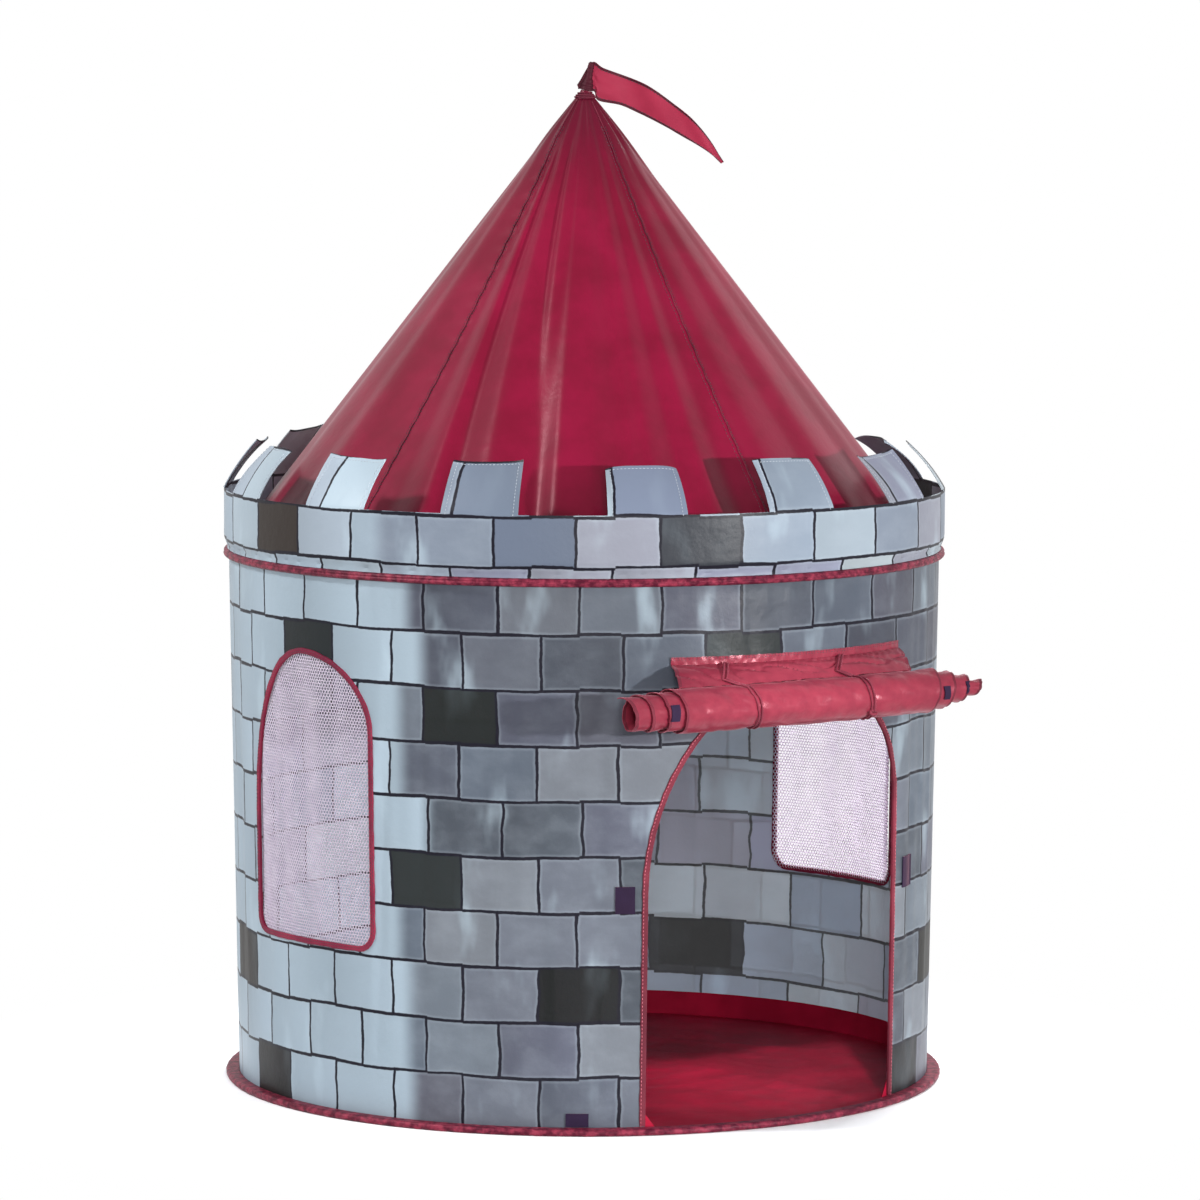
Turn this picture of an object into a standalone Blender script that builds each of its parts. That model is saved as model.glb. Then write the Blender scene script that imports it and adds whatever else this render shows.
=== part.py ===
"""A kids' castle play tent, piece by piece: metres, +Z up, standing on z = 0.

Run it with blender --background --python part.py, or from Blender's text editor.
The tent's axis is Z. An azimuth is in degrees from -Y towards +X, so the door is at the front right.
"""

import math

import bmesh
import bpy
from mathutils import Matrix, Vector

# Driving dimensions
HOOP_RADIUS = 0.500
HOOP_HEIGHT = 0.731
APEX_HEIGHT = 1.372
WALL_TOP_INSET = 0.008
WALL_BASE_INSET = 0.020
WALL_TOP_RADIUS = HOOP_RADIUS - WALL_TOP_INSET
WALL_BASE_RADIUS = HOOP_RADIUS - WALL_BASE_INSET
FLAG_RISE = 0.0315
FLAG_TOP_HEIGHT = APEX_HEIGHT + FLAG_RISE
FLOOR_RIM_HEIGHT = 0.035
FABRIC = 0.0012
FIT = 0.0003
TAPE_GAP = 0.0008
POLE_RADIUS = 0.004
WIRE_RADIUS = 0.002
RING_STEPS = 72
FINE_STEPS = 24

# Hoops
BASE_CAVITY_RADIUS = 0.0035
BASE_LIP_RADIUS = WALL_BASE_RADIUS + TAPE_GAP
BASE_TUBE_RADIUS = BASE_CAVITY_RADIUS + FABRIC
BASE_HOOP_INSET = 0.001
BASE_HOOP_RADIUS = HOOP_RADIUS - BASE_HOOP_INSET - BASE_TUBE_RADIUS
TOP_TUBE_RADIUS = 0.0055
TOP_CAVITY_RADIUS = BASE_CAVITY_RADIUS
TOP_HOOP_RADIUS = HOOP_RADIUS - TOP_TUBE_RADIUS
TOP_LIP_REACH = 0.0015
TOP_LIP_RADIUS = WALL_TOP_RADIUS - TOP_LIP_REACH
FERRULE_INNER_RADIUS = WIRE_RADIUS + 0.0004
FERRULE_OUTER_RADIUS = WIRE_RADIUS + 0.0011
FERRULE_LENGTH = 0.024
FERRULE_AZIMUTH = 182.5

# Walls and poles
WALL_FOOT = 0.0004
WALL_TOP = HOOP_HEIGHT - TOP_TUBE_RADIUS - FIT
SEAM_HALF_GAP = FIT / 2
COLUMN_STEP = 5.0
POLE_AZIMUTHS = (-5.0, 85.0, 175.0, 265.0)
POLE_INSET = 0.0090
WALL_PANELS = (("wall_left", 265.0 - 360.0), ("wall_door", -5.0), ("wall_rear", 85.0), ("wall_plain", 175.0))
PANEL_SPAN = 90.0
FOLD_FOOT = 0.040
FOLDS = ((-75.0, 3.0, 0.002), (-26.0, 2.5, 0.003), (66.5, 2.5, 0.003), (101.0, 3.0, 0.002),
         (160.0, 3.0, 0.003), (204.0, 3.0, 0.003), (238.0, 3.0, 0.002))
WALL_ROW_SHARES = (0.18, 0.36, 0.54, 0.72, 0.88)
SLEEVE_FOOT = 0.045
SLEEVE_HEADROOM = 0.071
SLEEVE_HEAD = HOOP_HEIGHT - SLEEVE_HEADROOM
SOCKET_DEPTH = 0.018
SOCKET_WALL = 0.0022
SOCKET_RADIUS = POLE_RADIUS + FIT
FOOT_HEIGHT = 0.020
FOOT_RADIUS = POLE_RADIUS + 0.0018
FOOT_BORE_RADIUS = POLE_RADIUS + 0.0005
FOOT_FLOOR = 0.003

# Door and windows: half width, foot, left shoulder, right shoulder, top, corner radius
DOOR_AZIMUTH = 34.75
DOOR_TOP = HOOP_HEIGHT - 0.133
DOOR_ARCH = (0.202, -0.010, DOOR_TOP - 0.278, DOOR_TOP - 0.178, DOOR_TOP, 0.0)
WINDOW_AZIMUTHS = {"left": -50.0, "rear": 130.0}
WINDOW_FOOT = 0.234
WINDOW_TOP = HOOP_HEIGHT - 0.111
WINDOW_ARCH = (0.122, WINDOW_FOOT, WINDOW_TOP - 0.220, WINDOW_TOP - 0.100, WINDOW_TOP, 0.022)
ARCH_STEPS = 7
TAPE_WIDTH = 0.010
MESH_THICKNESS = 0.0008
MESH_MARGIN_AZIMUTH = 20.0
MESH_OVERLAP = 0.0195
MESH_FOOT = WINDOW_FOOT - MESH_OVERLAP
MESH_HEAD = WINDOW_TOP + MESH_OVERLAP
PATCHES = ((6.6, 3.1, 0.294, 0.330), (-0.8, 3.6, 0.0102, 0.028), (65.0, 4.0, 0.291, 0.333))

# Rolled door
ROLL_AZIMUTH = 36.0
HEM_DROP = 0.109
HEM_HEIGHT = HOOP_HEIGHT - HEM_DROP
ROLL_DROP = 0.050
ROLL_HEIGHT = HEM_HEIGHT - ROLL_DROP
ROLL_STANDOFF = 0.022
ROLL_DISTANCE = HOOP_RADIUS + ROLL_STANDOFF
ROLL_RADIUS = 0.031
ROLL_CORE_RADIUS = 0.008
ROLL_TURNS = 4
ROLL_STEPS = 14
ROLL_TIGHTNESS = 1.6
ROLL_THICKNESS = 0.0016
ROLL_LENGTH = 0.585
ROLL_SHIFT = -0.019
ROLL_END_ANGLE = 110.0
ROLL_SECTIONS = ((0.0, 0.76), (0.05, 0.80), (0.12, 0.98), (0.5, 1.0), (0.88, 0.98), (0.95, 0.82), (1.0, 0.78))
HEM_TAPE_HEIGHT = 0.010
HEM_AZIMUTHS = (13.5, 59.5)
HEM_RADIUS = WALL_TOP_RADIUS - FIT
FLAP_FOOT = (-0.222, 0.205)
FLAP_COLUMNS = 12
FLAP_SAG = 0.004
TIE_RADIUS = 0.0015
TIE_PLACES = (-0.125, 0.0635)
TIE_SLANT = 0.022
TIE_SPACING = 0.007
TOGGLE_RADIUS = 0.005
TOGGLE_ANGLE = -40.0
ROLL_PATCHES = ((-0.254, 0.015, 0.0, 52.0), (0.200, 0.010, -6.0, 36.0), (0.248, 0.010, 8.0, 34.0))

# Roof
ROOF_FOOT = HOOP_HEIGHT + TOP_TUBE_RADIUS + FIT + FABRIC * 0.7
ROOF_MOUTH_DROP = 0.010
ROOF_TOP = APEX_HEIGHT - ROOF_MOUTH_DROP
ROOF_SEAMS = (-45.0, 35.0, 130.0, 220.0, 315.0)
ROOF_ROW_SHARES = (0.0, 0.12, 0.28, 0.45, 0.62, 0.76, 0.88, 1.0)
ROOF_SAG = 0.010
ROOF_PLEAT = 0.0018
PLEATS = 12
PLEAT_CENTRE_SHARE = 0.62
PLEAT_END_SHARE = 0.88
HUB_FOOT = APEX_HEIGHT - 0.072
HUB_SHOULDER = APEX_HEIGHT - 0.034
HUB_TOP = APEX_HEIGHT - 0.027
HUB_NOSE_RADIUS = 0.010
HUB_GAP = 0.0010
FLAG_POLE_RADIUS = 0.003
FLAG_POLE_FOOT = Vector((-0.004, 0.0, APEX_HEIGHT - 0.042))
FLAG_LEAN = 10.0
FLAG_SLEEVE_FOOT = APEX_HEIGHT - 0.006
FLAG_SLEEVE_WALL = 0.0012
FLAG_CAP = 0.0015
FLAG_WAVE = 0.006
# The pennant's (x, height above the apex), upper edge first, from the sleeve to the tip
FLAG_EDGES = (((-0.0104, 0.0015), (-0.0100, -0.0015)), ((0.0090, 0.0320), (0.0100, -0.0040)),
              ((0.0260, 0.0245), (0.0190, -0.0200)), ((0.0630, 0.0110), (0.0500, -0.0265)),
              ((0.0920, -0.0025), (0.0760, -0.0380)), ((0.1260, -0.0270), (0.1080, -0.0540)),
              ((0.1520, -0.0490), (0.1400, -0.0720)), ((0.1740, -0.0760), (0.1680, -0.0890)),
              ((0.1910, -0.1045), (0.1885, -0.1055)))
TIE_RING_HEIGHT = APEX_HEIGHT - 0.015
TIE_RING_CORD = 0.0012

# Battlements
MERLONS = 14
MERLON_PITCH = 360.0 / MERLONS
MERLON_CENTRE = 9.8
MERLON_SHARE = 0.475
BAND_FOOT = HOOP_HEIGHT + TOP_TUBE_RADIUS + FIT
BAND_FOOT_INSET = 0.0056
BAND_FOOT_RADIUS = HOOP_RADIUS - BAND_FOOT_INSET
BAND_INSET = 0.0005
BAND_RADIUS = HOOP_RADIUS - BAND_INSET
BAND_FLARE = 0.018
BAND_HEIGHT = 0.083
MERLON_LENGTH = 0.0815
MERLON_LEANS = (42.0, 36.0, 44.0, 40.0, 45.0, 38.0, 34.0, 40.0, 44.0, 38.0, 42.0, 36.0, 40.0, 37.0)

LOOKS = {
    "stone_print": ("#8B95A1", 0.62, 0.0),
    "red_cloth": ("#A62B47", 0.55, 0.0),
    "floor_cloth": ("#8F1F35", 0.60, 0.0),
    "red_trim": ("#B5505F", 0.50, 0.0),
    "roll_cloth": ("#C9566B", 0.50, 0.0),
    "maroon_cord": ("#6B2633", 0.60, 0.0),
    "window_net": ("#E6DDEB", 0.70, 0.0),
    "dark_patch": ("#1D1830", 0.60, 0.0),
    "pole": ("#D9D6CE", 0.35, 0.0),
    "steel": ("#9EA2A6", 0.30, 1.0),
    "plastic": ("#26262A", 0.45, 0.0),
}


def linear(hex_colour):
    """The linear red, green, blue and alpha of an sRGB hex colour."""
    channels = [int(hex_colour[i : i + 2], 16) / 255 for i in (1, 3, 5)]
    return [c / 12.92 if c <= 0.04045 else ((c + 0.055) / 1.055) ** 2.4 for c in channels] + [1.0]


def make_materials():
    made = {}
    for name, (colour, roughness, metallic) in LOOKS.items():
        look = bpy.data.materials.new(name)
        look.use_nodes = True
        shader = look.node_tree.nodes["Principled BSDF"]
        shader.inputs["Base Color"].default_value = linear(colour)
        shader.inputs["Roughness"].default_value = roughness
        shader.inputs["Metallic"].default_value = metallic
        look.diffuse_color = linear(colour)
        made[name] = look
    return made


def clear_scene():
    for obj in list(bpy.data.objects):
        bpy.data.objects.remove(obj, do_unlink=True)


def add_collections():
    tent = bpy.data.collections.new("play_tent")
    cutters = bpy.data.collections.new("cutters")
    for collection in (tent, cutters):
        bpy.context.scene.collection.children.link(collection)
    cutters.hide_render = True
    return tent, cutters


clear_scene()
TENT, CUTTERS = add_collections()
MATERIALS = make_materials()


# Places

def place(azimuth, radius, height):
    turn = math.radians(azimuth)
    return Vector((radius * math.sin(turn), -radius * math.cos(turn), height))


def facing(azimuth):
    """Axes at an azimuth: along the wall, up, and outward."""
    turn = math.radians(azimuth)
    along = Vector((math.cos(turn), math.sin(turn), 0.0))
    outward = Vector((math.sin(turn), -math.cos(turn), 0.0))
    return along, Vector((0.0, 0.0, 1.0)), outward


def flat_place(azimuth, along, outward, height):
    """A point given along and out from the tangent plane's foot at this azimuth."""
    side, up, out = facing(azimuth)
    return side * along + out * outward + up * height


def mix(first, second, share):
    return first + (second - first) * share


def wall_fold(azimuth, height):
    """How far the wall's folds draw it inward here."""
    share = (height - FOLD_FOOT) / (WALL_TOP - FOLD_FOOT)
    if not 0.0 < share < 1.0:
        return 0.0
    depth = 0.0
    for centre, width, most in FOLDS:
        away = abs((azimuth - centre + 180.0) % 360.0 - 180.0) / width
        depth += most * max(0.0, 1.0 - away) ** 1.5
    return depth * math.sin(math.pi * share)


def wall_radius(azimuth, height):
    return mix(WALL_BASE_RADIUS, WALL_TOP_RADIUS, height / WALL_TOP) - wall_fold(azimuth, height)


def on_wall(azimuth, height, lift):
    return place(azimuth, wall_radius(azimuth, height) + lift, height)


def cone_radius(height):
    return WALL_TOP_RADIUS * (APEX_HEIGHT - height) / (APEX_HEIGHT - ROOF_FOOT)


def roof_radius(azimuth, share, height):
    """The cone, sagging between the poles, with pleats that run out below the apex."""
    between = math.sin(math.radians(2.0 * (azimuth - POLE_AZIMUTHS[0]))) ** 2
    sag = ROOF_SAG * between * math.sin(math.pi * min(1.0, share / PLEAT_END_SHARE))
    reach = max(0.0, 1.0 - abs(share - PLEAT_CENTRE_SHARE) / (PLEAT_END_SHARE - PLEAT_CENTRE_SHARE))
    pleat = ROOF_PLEAT * reach * (1.0 - math.cos(math.radians(PLEATS * (azimuth - POLE_AZIMUTHS[0])))) / 2
    return cone_radius(height) - sag - pleat


# Builders

def finish(obj, look, parent=None, smooth=True, collection=None):
    obj.data.materials.append(MATERIALS[look])
    (collection or TENT).objects.link(obj)
    if obj.type == "MESH":
        for face in obj.data.polygons:
            face.use_smooth = smooth
    if parent:
        obj.parent = parent
        obj.matrix_parent_inverse = parent.matrix_world.inverted()
    return obj


def mesh_object(name, bm, look, parent=None, smooth=True, collection=None):
    mesh = bpy.data.meshes.new(name)
    bm.to_mesh(mesh)
    bm.free()
    return finish(bpy.data.objects.new(name, mesh), look, parent, smooth, collection)


def cloth(name, columns, rows, surface, look, thickness=FABRIC, parent=None, closed=False, keep=None):
    """A sheet of this thickness whose outer face is surface(column, row). keep drops cells by number."""
    bm = bmesh.new()
    across, up = len(columns) - 1, len(rows) - 1
    bmesh.ops.create_grid(bm, x_segments=across, y_segments=up, size=0.5)
    if keep:
        cells = {f: f.calc_center_median() for f in bm.faces}
        spare = [f for f, c in cells.items() if not keep(int((c.x + 0.5) * across), int((c.y + 0.5) * up))]
        bmesh.ops.delete(bm, geom=spare, context="FACES")
    for vert in bm.verts:
        column = columns[round((vert.co.x + 0.5) * across)]
        row = rows[round((vert.co.y + 0.5) * up)]
        vert.co = surface(column, row)
    if closed:
        bmesh.ops.remove_doubles(bm, verts=bm.verts, dist=FIT / 10)
    obj = mesh_object(name, bm, look, parent)
    solid = obj.modifiers.new("thickness", "SOLIDIFY")
    solid.thickness = thickness
    solid.offset = -1.0
    return obj


def turned(name, profile, look, steps=RING_STEPS):
    """A closed profile of (radius, height) points turned about Z, its outer side running down."""
    bm = bmesh.new()
    verts = [bm.verts.new((radius, 0.0, height)) for radius, height in profile]
    for first, second in zip(verts, verts[1:] + verts[:1]):
        bm.edges.new((first, second))
    obj = mesh_object(name, bm, look)
    screw = obj.modifiers.new("turn", "SCREW")
    screw.steps = screw.render_steps = steps
    screw.use_merge_vertices = True
    screw.merge_threshold = 0.00001
    return obj


def tube(name, points, radius, look, sides=2, parent=None):
    """A round rod or cord along a list of points."""
    curve = bpy.data.curves.new(name, "CURVE")
    curve.dimensions = "3D"
    curve.bevel_depth = radius
    curve.bevel_resolution = sides
    curve.use_fill_caps = True
    spline = curve.splines.new("POLY")
    spline.points.add(len(points) - 1)
    for point, position in zip(spline.points, points):
        point.co = (*position, 1.0)
    return finish(bpy.data.objects.new(name, curve), look, parent)


def as_mesh(obj):
    """The curve object replaced by a mesh object of the same name, which a Boolean can take."""
    bpy.context.view_layer.update()
    mesh = bpy.data.meshes.new_from_object(obj)
    name, matrix, home = obj.name, obj.matrix_world.copy(), obj.users_collection[0]
    bpy.data.objects.remove(obj, do_unlink=True)
    bm = bmesh.new()
    bm.from_mesh(mesh)
    bmesh.ops.remove_doubles(bm, verts=bm.verts, dist=FIT / 100)
    bm.to_mesh(mesh)
    bm.free()
    made = bpy.data.objects.new(name, mesh)
    made.matrix_world = matrix
    home.objects.link(made)
    return made


def as_cutter(obj):
    for home in list(obj.users_collection):
        home.objects.unlink(obj)
    CUTTERS.objects.link(obj)
    obj.hide_render = True
    obj.display_type = "WIRE"
    return obj


def combine(obj, other, operation="DIFFERENCE"):
    boolean = obj.modifiers.new(operation.lower(), "BOOLEAN")
    boolean.operation = operation
    boolean.solver = "EXACT"
    boolean.object = other
    return obj


def rod_cutter(name, start, end, radius):
    """A straight round cutter, for a bore."""
    bm = bmesh.new()
    along = end - start
    bmesh.ops.create_cone(bm, cap_ends=True, segments=FINE_STEPS, radius1=radius, radius2=radius,
                          depth=along.length)
    turn = along.to_track_quat("Z", "Y").to_matrix().to_4x4()
    bm.transform(Matrix.Translation((start + end) / 2) @ turn)
    return as_cutter(mesh_object(name, bm, "plastic"))


def outline_cutter(name, outline, azimuth, near, far):
    """A flat outline at this azimuth, drawn straight through the wall."""
    curve = bpy.data.curves.new(name, "CURVE")
    curve.dimensions = "2D"
    curve.fill_mode = "BOTH"
    curve.extrude = (far - near) / 2
    spline = curve.splines.new("POLY")
    spline.points.add(len(outline) - 1)
    for point, (along, height) in zip(spline.points, outline):
        point.co = (along, height, 0.0, 1.0)
    spline.use_cyclic_u = True
    obj = finish(bpy.data.objects.new(name, curve), "plastic")
    side, up, out = facing(azimuth)
    axes = Matrix((side, up, out)).transposed().to_4x4()
    obj.matrix_world = Matrix.Translation(out * (near + far) / 2) @ axes
    return as_cutter(as_mesh(obj))


def pivot(name, location, direction):
    """An empty on a joint's axis, its Z along the axis."""
    empty = bpy.data.objects.new(name, None)
    empty.empty_display_size = ROLL_RADIUS
    turn = direction.to_track_quat("Z", "Y").to_matrix().to_4x4()
    empty.matrix_world = Matrix.Translation(location) @ turn
    TENT.objects.link(empty)
    bpy.context.view_layer.update()
    return empty


# Outlines

def arc(centre, radii, start, end, steps):
    """Points of an ellipse between two angles, both ends included."""
    angles = [math.radians(mix(start, end, i / steps)) for i in range(steps + 1)]
    return [(centre[0] + radii[0] * math.cos(a), centre[1] + radii[1] * math.sin(a)) for a in angles]


def arch(half_width, foot, left_shoulder, right_shoulder, top, corner, foot_steps=1):
    """An arched opening seen from outside, going round to the left from its lower left corner."""
    points = []
    if corner:
        points += arc((corner - half_width, foot + corner), (corner, corner), 180, 270, 3)
    else:
        points.append((-half_width, foot))
    for i in range(1, foot_steps):
        points.append((mix(corner - half_width, half_width - corner, i / foot_steps), foot))
    if corner:
        points += arc((half_width - corner, foot + corner), (corner, corner), 270, 360, 3)
    else:
        points.append((half_width, foot))
    points += arc((0, right_shoulder), (half_width, top - right_shoulder), 0, 90, ARCH_STEPS)
    points += arc((0, left_shoulder), (half_width, top - left_shoulder), 90, 180, ARCH_STEPS)[1:]
    return points


def edge_tape(name, outline, azimuth, look, closed):
    """Binding tape sewn round an opening, lying on the wall's outer face."""
    count = len(outline)

    def surface(number, side):
        here = Vector(outline[number % count])
        before = Vector(outline[(number - 1) % count] if closed or number else outline[0])
        after = Vector(outline[(number + 1) % count] if closed or number < count - 1 else outline[-1])
        left = (after - before).normalized().orthogonal()
        at = here + left * side
        turn = math.degrees(math.asin(at.x / wall_radius(azimuth, at.y)))
        return on_wall(azimuth + turn, at.y, TAPE_GAP + FABRIC)

    numbers = range(count + 1) if closed else range(count)
    return cloth(name, numbers, (-TAPE_WIDTH, 0.0), surface, look, closed=closed)


# Floor and hoops

def floor_panel():
    rim = WALL_BASE_RADIUS - FABRIC - FIT
    rise = (WALL_TOP_RADIUS - WALL_BASE_RADIUS) * FLOOR_RIM_HEIGHT / WALL_TOP
    profile = [(0.0, FABRIC), (rim - FABRIC, FABRIC), (rim - FABRIC + rise, FLOOR_RIM_HEIGHT),
               (rim + rise, FLOOR_RIM_HEIGHT), (rim, 0.0), (0.0, 0.0)]
    floor = turned("floor_panel", profile, "floor_cloth")
    half = DOOR_ARCH[0]
    low, high = FABRIC * 4, FLOOR_RIM_HEIGHT * 2
    sill = [(-half, low), (half, low), (half, high), (-half, high)]
    combine(floor, outline_cutter("door_sill_cutter", sill, DOOR_AZIMUTH, HOOP_RADIUS / 2, HOOP_RADIUS * 1.1))


def channel(centre_radius, centre_height, tube_radius, cavity_radius, lip_radius):
    """A channel of fabric round a hoop wire, open towards the axis."""
    centre = (centre_radius, centre_height)
    outer = arc(centre, (tube_radius, tube_radius), 90, -90, 5)
    inner = arc(centre, (cavity_radius, cavity_radius), -90, 90, 4)
    return ([(lip_radius, centre_height + tube_radius)] + outer
            + [(lip_radius, centre_height - tube_radius), (lip_radius, centre_height - cavity_radius)]
            + inner + [(lip_radius, centre_height + cavity_radius)])


def hoop_wire(name, radius, height):
    """A sprung wire hoop, cut at the middle of a chord, where its ends meet in a ferrule."""
    step = 360.0 / RING_STEPS
    first = FERRULE_AZIMUTH + step / 2
    corners = [place(first + step * i, radius, height) for i in range(RING_STEPS)]
    joint = (corners[0] + corners[-1]) / 2
    gap = (corners[0] - corners[-1]).normalized() * FIT / 2
    tube(name + "_wire", [joint + gap] + corners + [joint - gap], WIRE_RADIUS, "steel", sides=1)
    side = (corners[0] - corners[-1]).normalized() * FERRULE_LENGTH / 2
    ferrule = as_mesh(tube(name + "_ferrule", [joint - side, joint + side], FERRULE_OUTER_RADIUS, "steel"))
    combine(ferrule, rod_cutter(name + "_ferrule_bore", joint - side * 1.2, joint + side * 1.2,
                                FERRULE_INNER_RADIUS))


def hoops():
    base = channel(BASE_HOOP_RADIUS, BASE_TUBE_RADIUS, BASE_TUBE_RADIUS, BASE_CAVITY_RADIUS, BASE_LIP_RADIUS)
    turned("base_binding", base, "red_trim")
    hoop_wire("base", BASE_HOOP_RADIUS, BASE_TUBE_RADIUS)
    top = channel(TOP_HOOP_RADIUS, HOOP_HEIGHT, TOP_TUBE_RADIUS, TOP_CAVITY_RADIUS, TOP_LIP_RADIUS)
    turned("top_piping", top, "red_trim")
    hoop_wire("top", TOP_HOOP_RADIUS, HOOP_HEIGHT)


# Walls

def wall_columns(start):
    """Azimuths across one panel: the even grid, and closer ones at each fold."""
    steps = round(PANEL_SPAN / COLUMN_STEP)
    columns = [start + COLUMN_STEP * i for i in range(steps + 1)]
    for centre, width, _ in FOLDS:
        extra = [centre + width * share for share in (-1.0, -0.4, 0.0, 0.4, 1.0)]
        columns = [c for c in columns if min(abs(c - e) for e in extra) > 0.9 or c in (columns[0], columns[-1])]
        columns += [e for e in extra if start < e < start + PANEL_SPAN]
    inset = math.degrees(SEAM_HALF_GAP / WALL_BASE_RADIUS)
    columns.sort()
    return [start + inset] + columns[1:-1] + [start + PANEL_SPAN - inset]


def walls():
    rows = [WALL_FOOT, FOLD_FOOT] + [mix(FOLD_FOOT, WALL_TOP, share) for share in WALL_ROW_SHARES] + [WALL_TOP]
    panels = {}
    for name, start in WALL_PANELS:
        panels[name] = cloth(name, wall_columns(start), rows, lambda a, z: on_wall(a, z, 0.0), "stone_print")
    near, far = HOOP_RADIUS * 0.6, HOOP_RADIUS * 1.1
    combine(panels["wall_door"], outline_cutter("door_cutter", arch(*DOOR_ARCH), DOOR_AZIMUTH, near, far))
    for side, azimuth in WINDOW_AZIMUTHS.items():
        cutter = outline_cutter(f"window_cutter_{side}", arch(*WINDOW_ARCH), azimuth, near, far)
        combine(panels[f"wall_{side}"], cutter)


def openings_trim():
    foot = 2 * BASE_TUBE_RADIUS + TAPE_GAP
    half, _, *rest = DOOR_ARCH
    outline = arch(half, foot, *rest)
    outline = outline[1:] + outline[:1]
    edge_tape("door_binding", outline, DOOR_AZIMUTH, "red_trim", closed=False)
    for side, azimuth in WINDOW_AZIMUTHS.items():
        edge_tape(f"window_binding_{side}", arch(*WINDOW_ARCH, foot_steps=7), azimuth, "red_trim", closed=True)
        steps = round(2 * MESH_MARGIN_AZIMUTH / COLUMN_STEP)
        columns = [azimuth - MESH_MARGIN_AZIMUTH + COLUMN_STEP * i for i in range(steps + 1)]
        depth = -FABRIC - FIT * 2
        cloth(f"window_mesh_{side}", columns, (MESH_FOOT, MESH_HEAD), lambda a, z: on_wall(a, z, depth),
              "window_net", thickness=MESH_THICKNESS)
    for number, (azimuth, width, low, high) in enumerate(PATCHES, 1):
        columns = (azimuth - width / 2, azimuth, azimuth + width / 2)
        cloth(f"wall_patch_{number}", columns, (low, high),
              lambda a, z: on_wall(a, z, TAPE_GAP + FABRIC), "dark_patch")


# Frame

def wall_pole_point(azimuth, height):
    radius = mix(WALL_BASE_RADIUS, WALL_TOP_RADIUS, height / WALL_TOP) - POLE_INSET
    return place(azimuth, radius, height)


def roof_slope(azimuth):
    """Unit vectors up the roof and out from it."""
    rise, run = APEX_HEIGHT - ROOF_FOOT, WALL_TOP_RADIUS
    _, up, out = facing(azimuth)
    climb = (up * rise - out * run).normalized()
    return climb, (up * run + out * rise).normalized()


def roof_pole_point(azimuth, distance):
    climb, normal = roof_slope(azimuth)
    return place(azimuth, WALL_TOP_RADIUS, ROOF_FOOT) - normal * POLE_INSET + climb * distance


def bend_point(azimuth):
    """Where the wall pole's line meets the roof pole's line."""
    low, high = wall_pole_point(azimuth, 0.0), wall_pole_point(azimuth, WALL_TOP)
    _, normal = roof_slope(azimuth)
    plane = roof_pole_point(azimuth, 0.0)
    share = (plane - low).dot(normal) / (high - low).dot(normal)
    return mix(low, high, share)


def frame_pole(number, azimuth):
    bend = bend_point(azimuth)
    climb, _ = roof_slope(azimuth)
    down = (wall_pole_point(azimuth, 0.0) - bend).normalized()
    reach = SOCKET_DEPTH * 1.5
    solid = SOCKET_DEPTH * 0.5
    elbow_line = [bend + down * reach, bend + down * solid, bend + (down + climb) * solid * 0.30,
                  bend + climb * solid, bend + climb * reach]
    elbow = as_mesh(tube(f"elbow_{number}", elbow_line, SOCKET_RADIUS + SOCKET_WALL, "plastic", sides=3))
    for end, direction in (("wall", down), ("roof", climb)):
        cutter = rod_cutter(f"elbow_{number}_{end}_bore", bend + direction * solid,
                            bend + direction * reach * 1.5, SOCKET_RADIUS)
        combine(elbow, cutter)
    foot_height = FABRIC + FIT
    pole_foot = wall_pole_point(azimuth, foot_height + FOOT_FLOOR + FIT)
    tube(f"wall_pole_{number}", [pole_foot, bend + down * (solid + FIT)], POLE_RADIUS, "pole")
    hub_reach = (HUB_FOOT - roof_pole_point(azimuth, 0.0).z) / climb.z + SOCKET_DEPTH
    tube(f"roof_pole_{number}", [bend + climb * (solid + FIT), roof_pole_point(azimuth, hub_reach - FIT)],
         POLE_RADIUS, "pole")
    foot_cup(number, azimuth, foot_height)
    sleeve(number, azimuth)
    return rod_cutter(f"hub_bore_{number}", roof_pole_point(azimuth, hub_reach),
                      roof_pole_point(azimuth, hub_reach - 2 * SOCKET_DEPTH), SOCKET_RADIUS)


def foot_cup(number, azimuth, height):
    """A moulded cup on the floor that a wall pole stands in."""
    centre = wall_pole_point(azimuth, height + FOOT_HEIGHT / 2)
    bottom = Vector((centre.x, centre.y, height))
    top = Vector((centre.x, centre.y, height + FOOT_HEIGHT))
    cup = as_mesh(tube(f"pole_foot_{number}", [bottom, top], FOOT_RADIUS, "plastic", sides=3))
    lift = Vector((0.0, 0.0, FOOT_FLOOR))
    combine(cup, rod_cutter(f"pole_foot_{number}_bore", bottom + lift, top + lift, FOOT_BORE_RADIUS))


def sleeve(number, azimuth):
    """A strip sewn inside the wall that holds the pole against it."""
    inner = POLE_RADIUS + TAPE_GAP + FABRIC
    legs = POLE_INSET - FABRIC - FIT * 1.5
    section = [(-inner, legs)] + arc((0, 0), (inner, inner), 180, 360, 6) + [(inner, legs)]
    side, _, out = facing(azimuth)

    def surface(number_across, height):
        along, outward = section[number_across]
        return wall_pole_point(azimuth, height) + side * along + out * outward

    heights = (SLEEVE_HEAD, SLEEVE_FOOT)
    cloth(f"pole_sleeve_{number}", range(len(section)), heights, surface, "red_trim")


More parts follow.
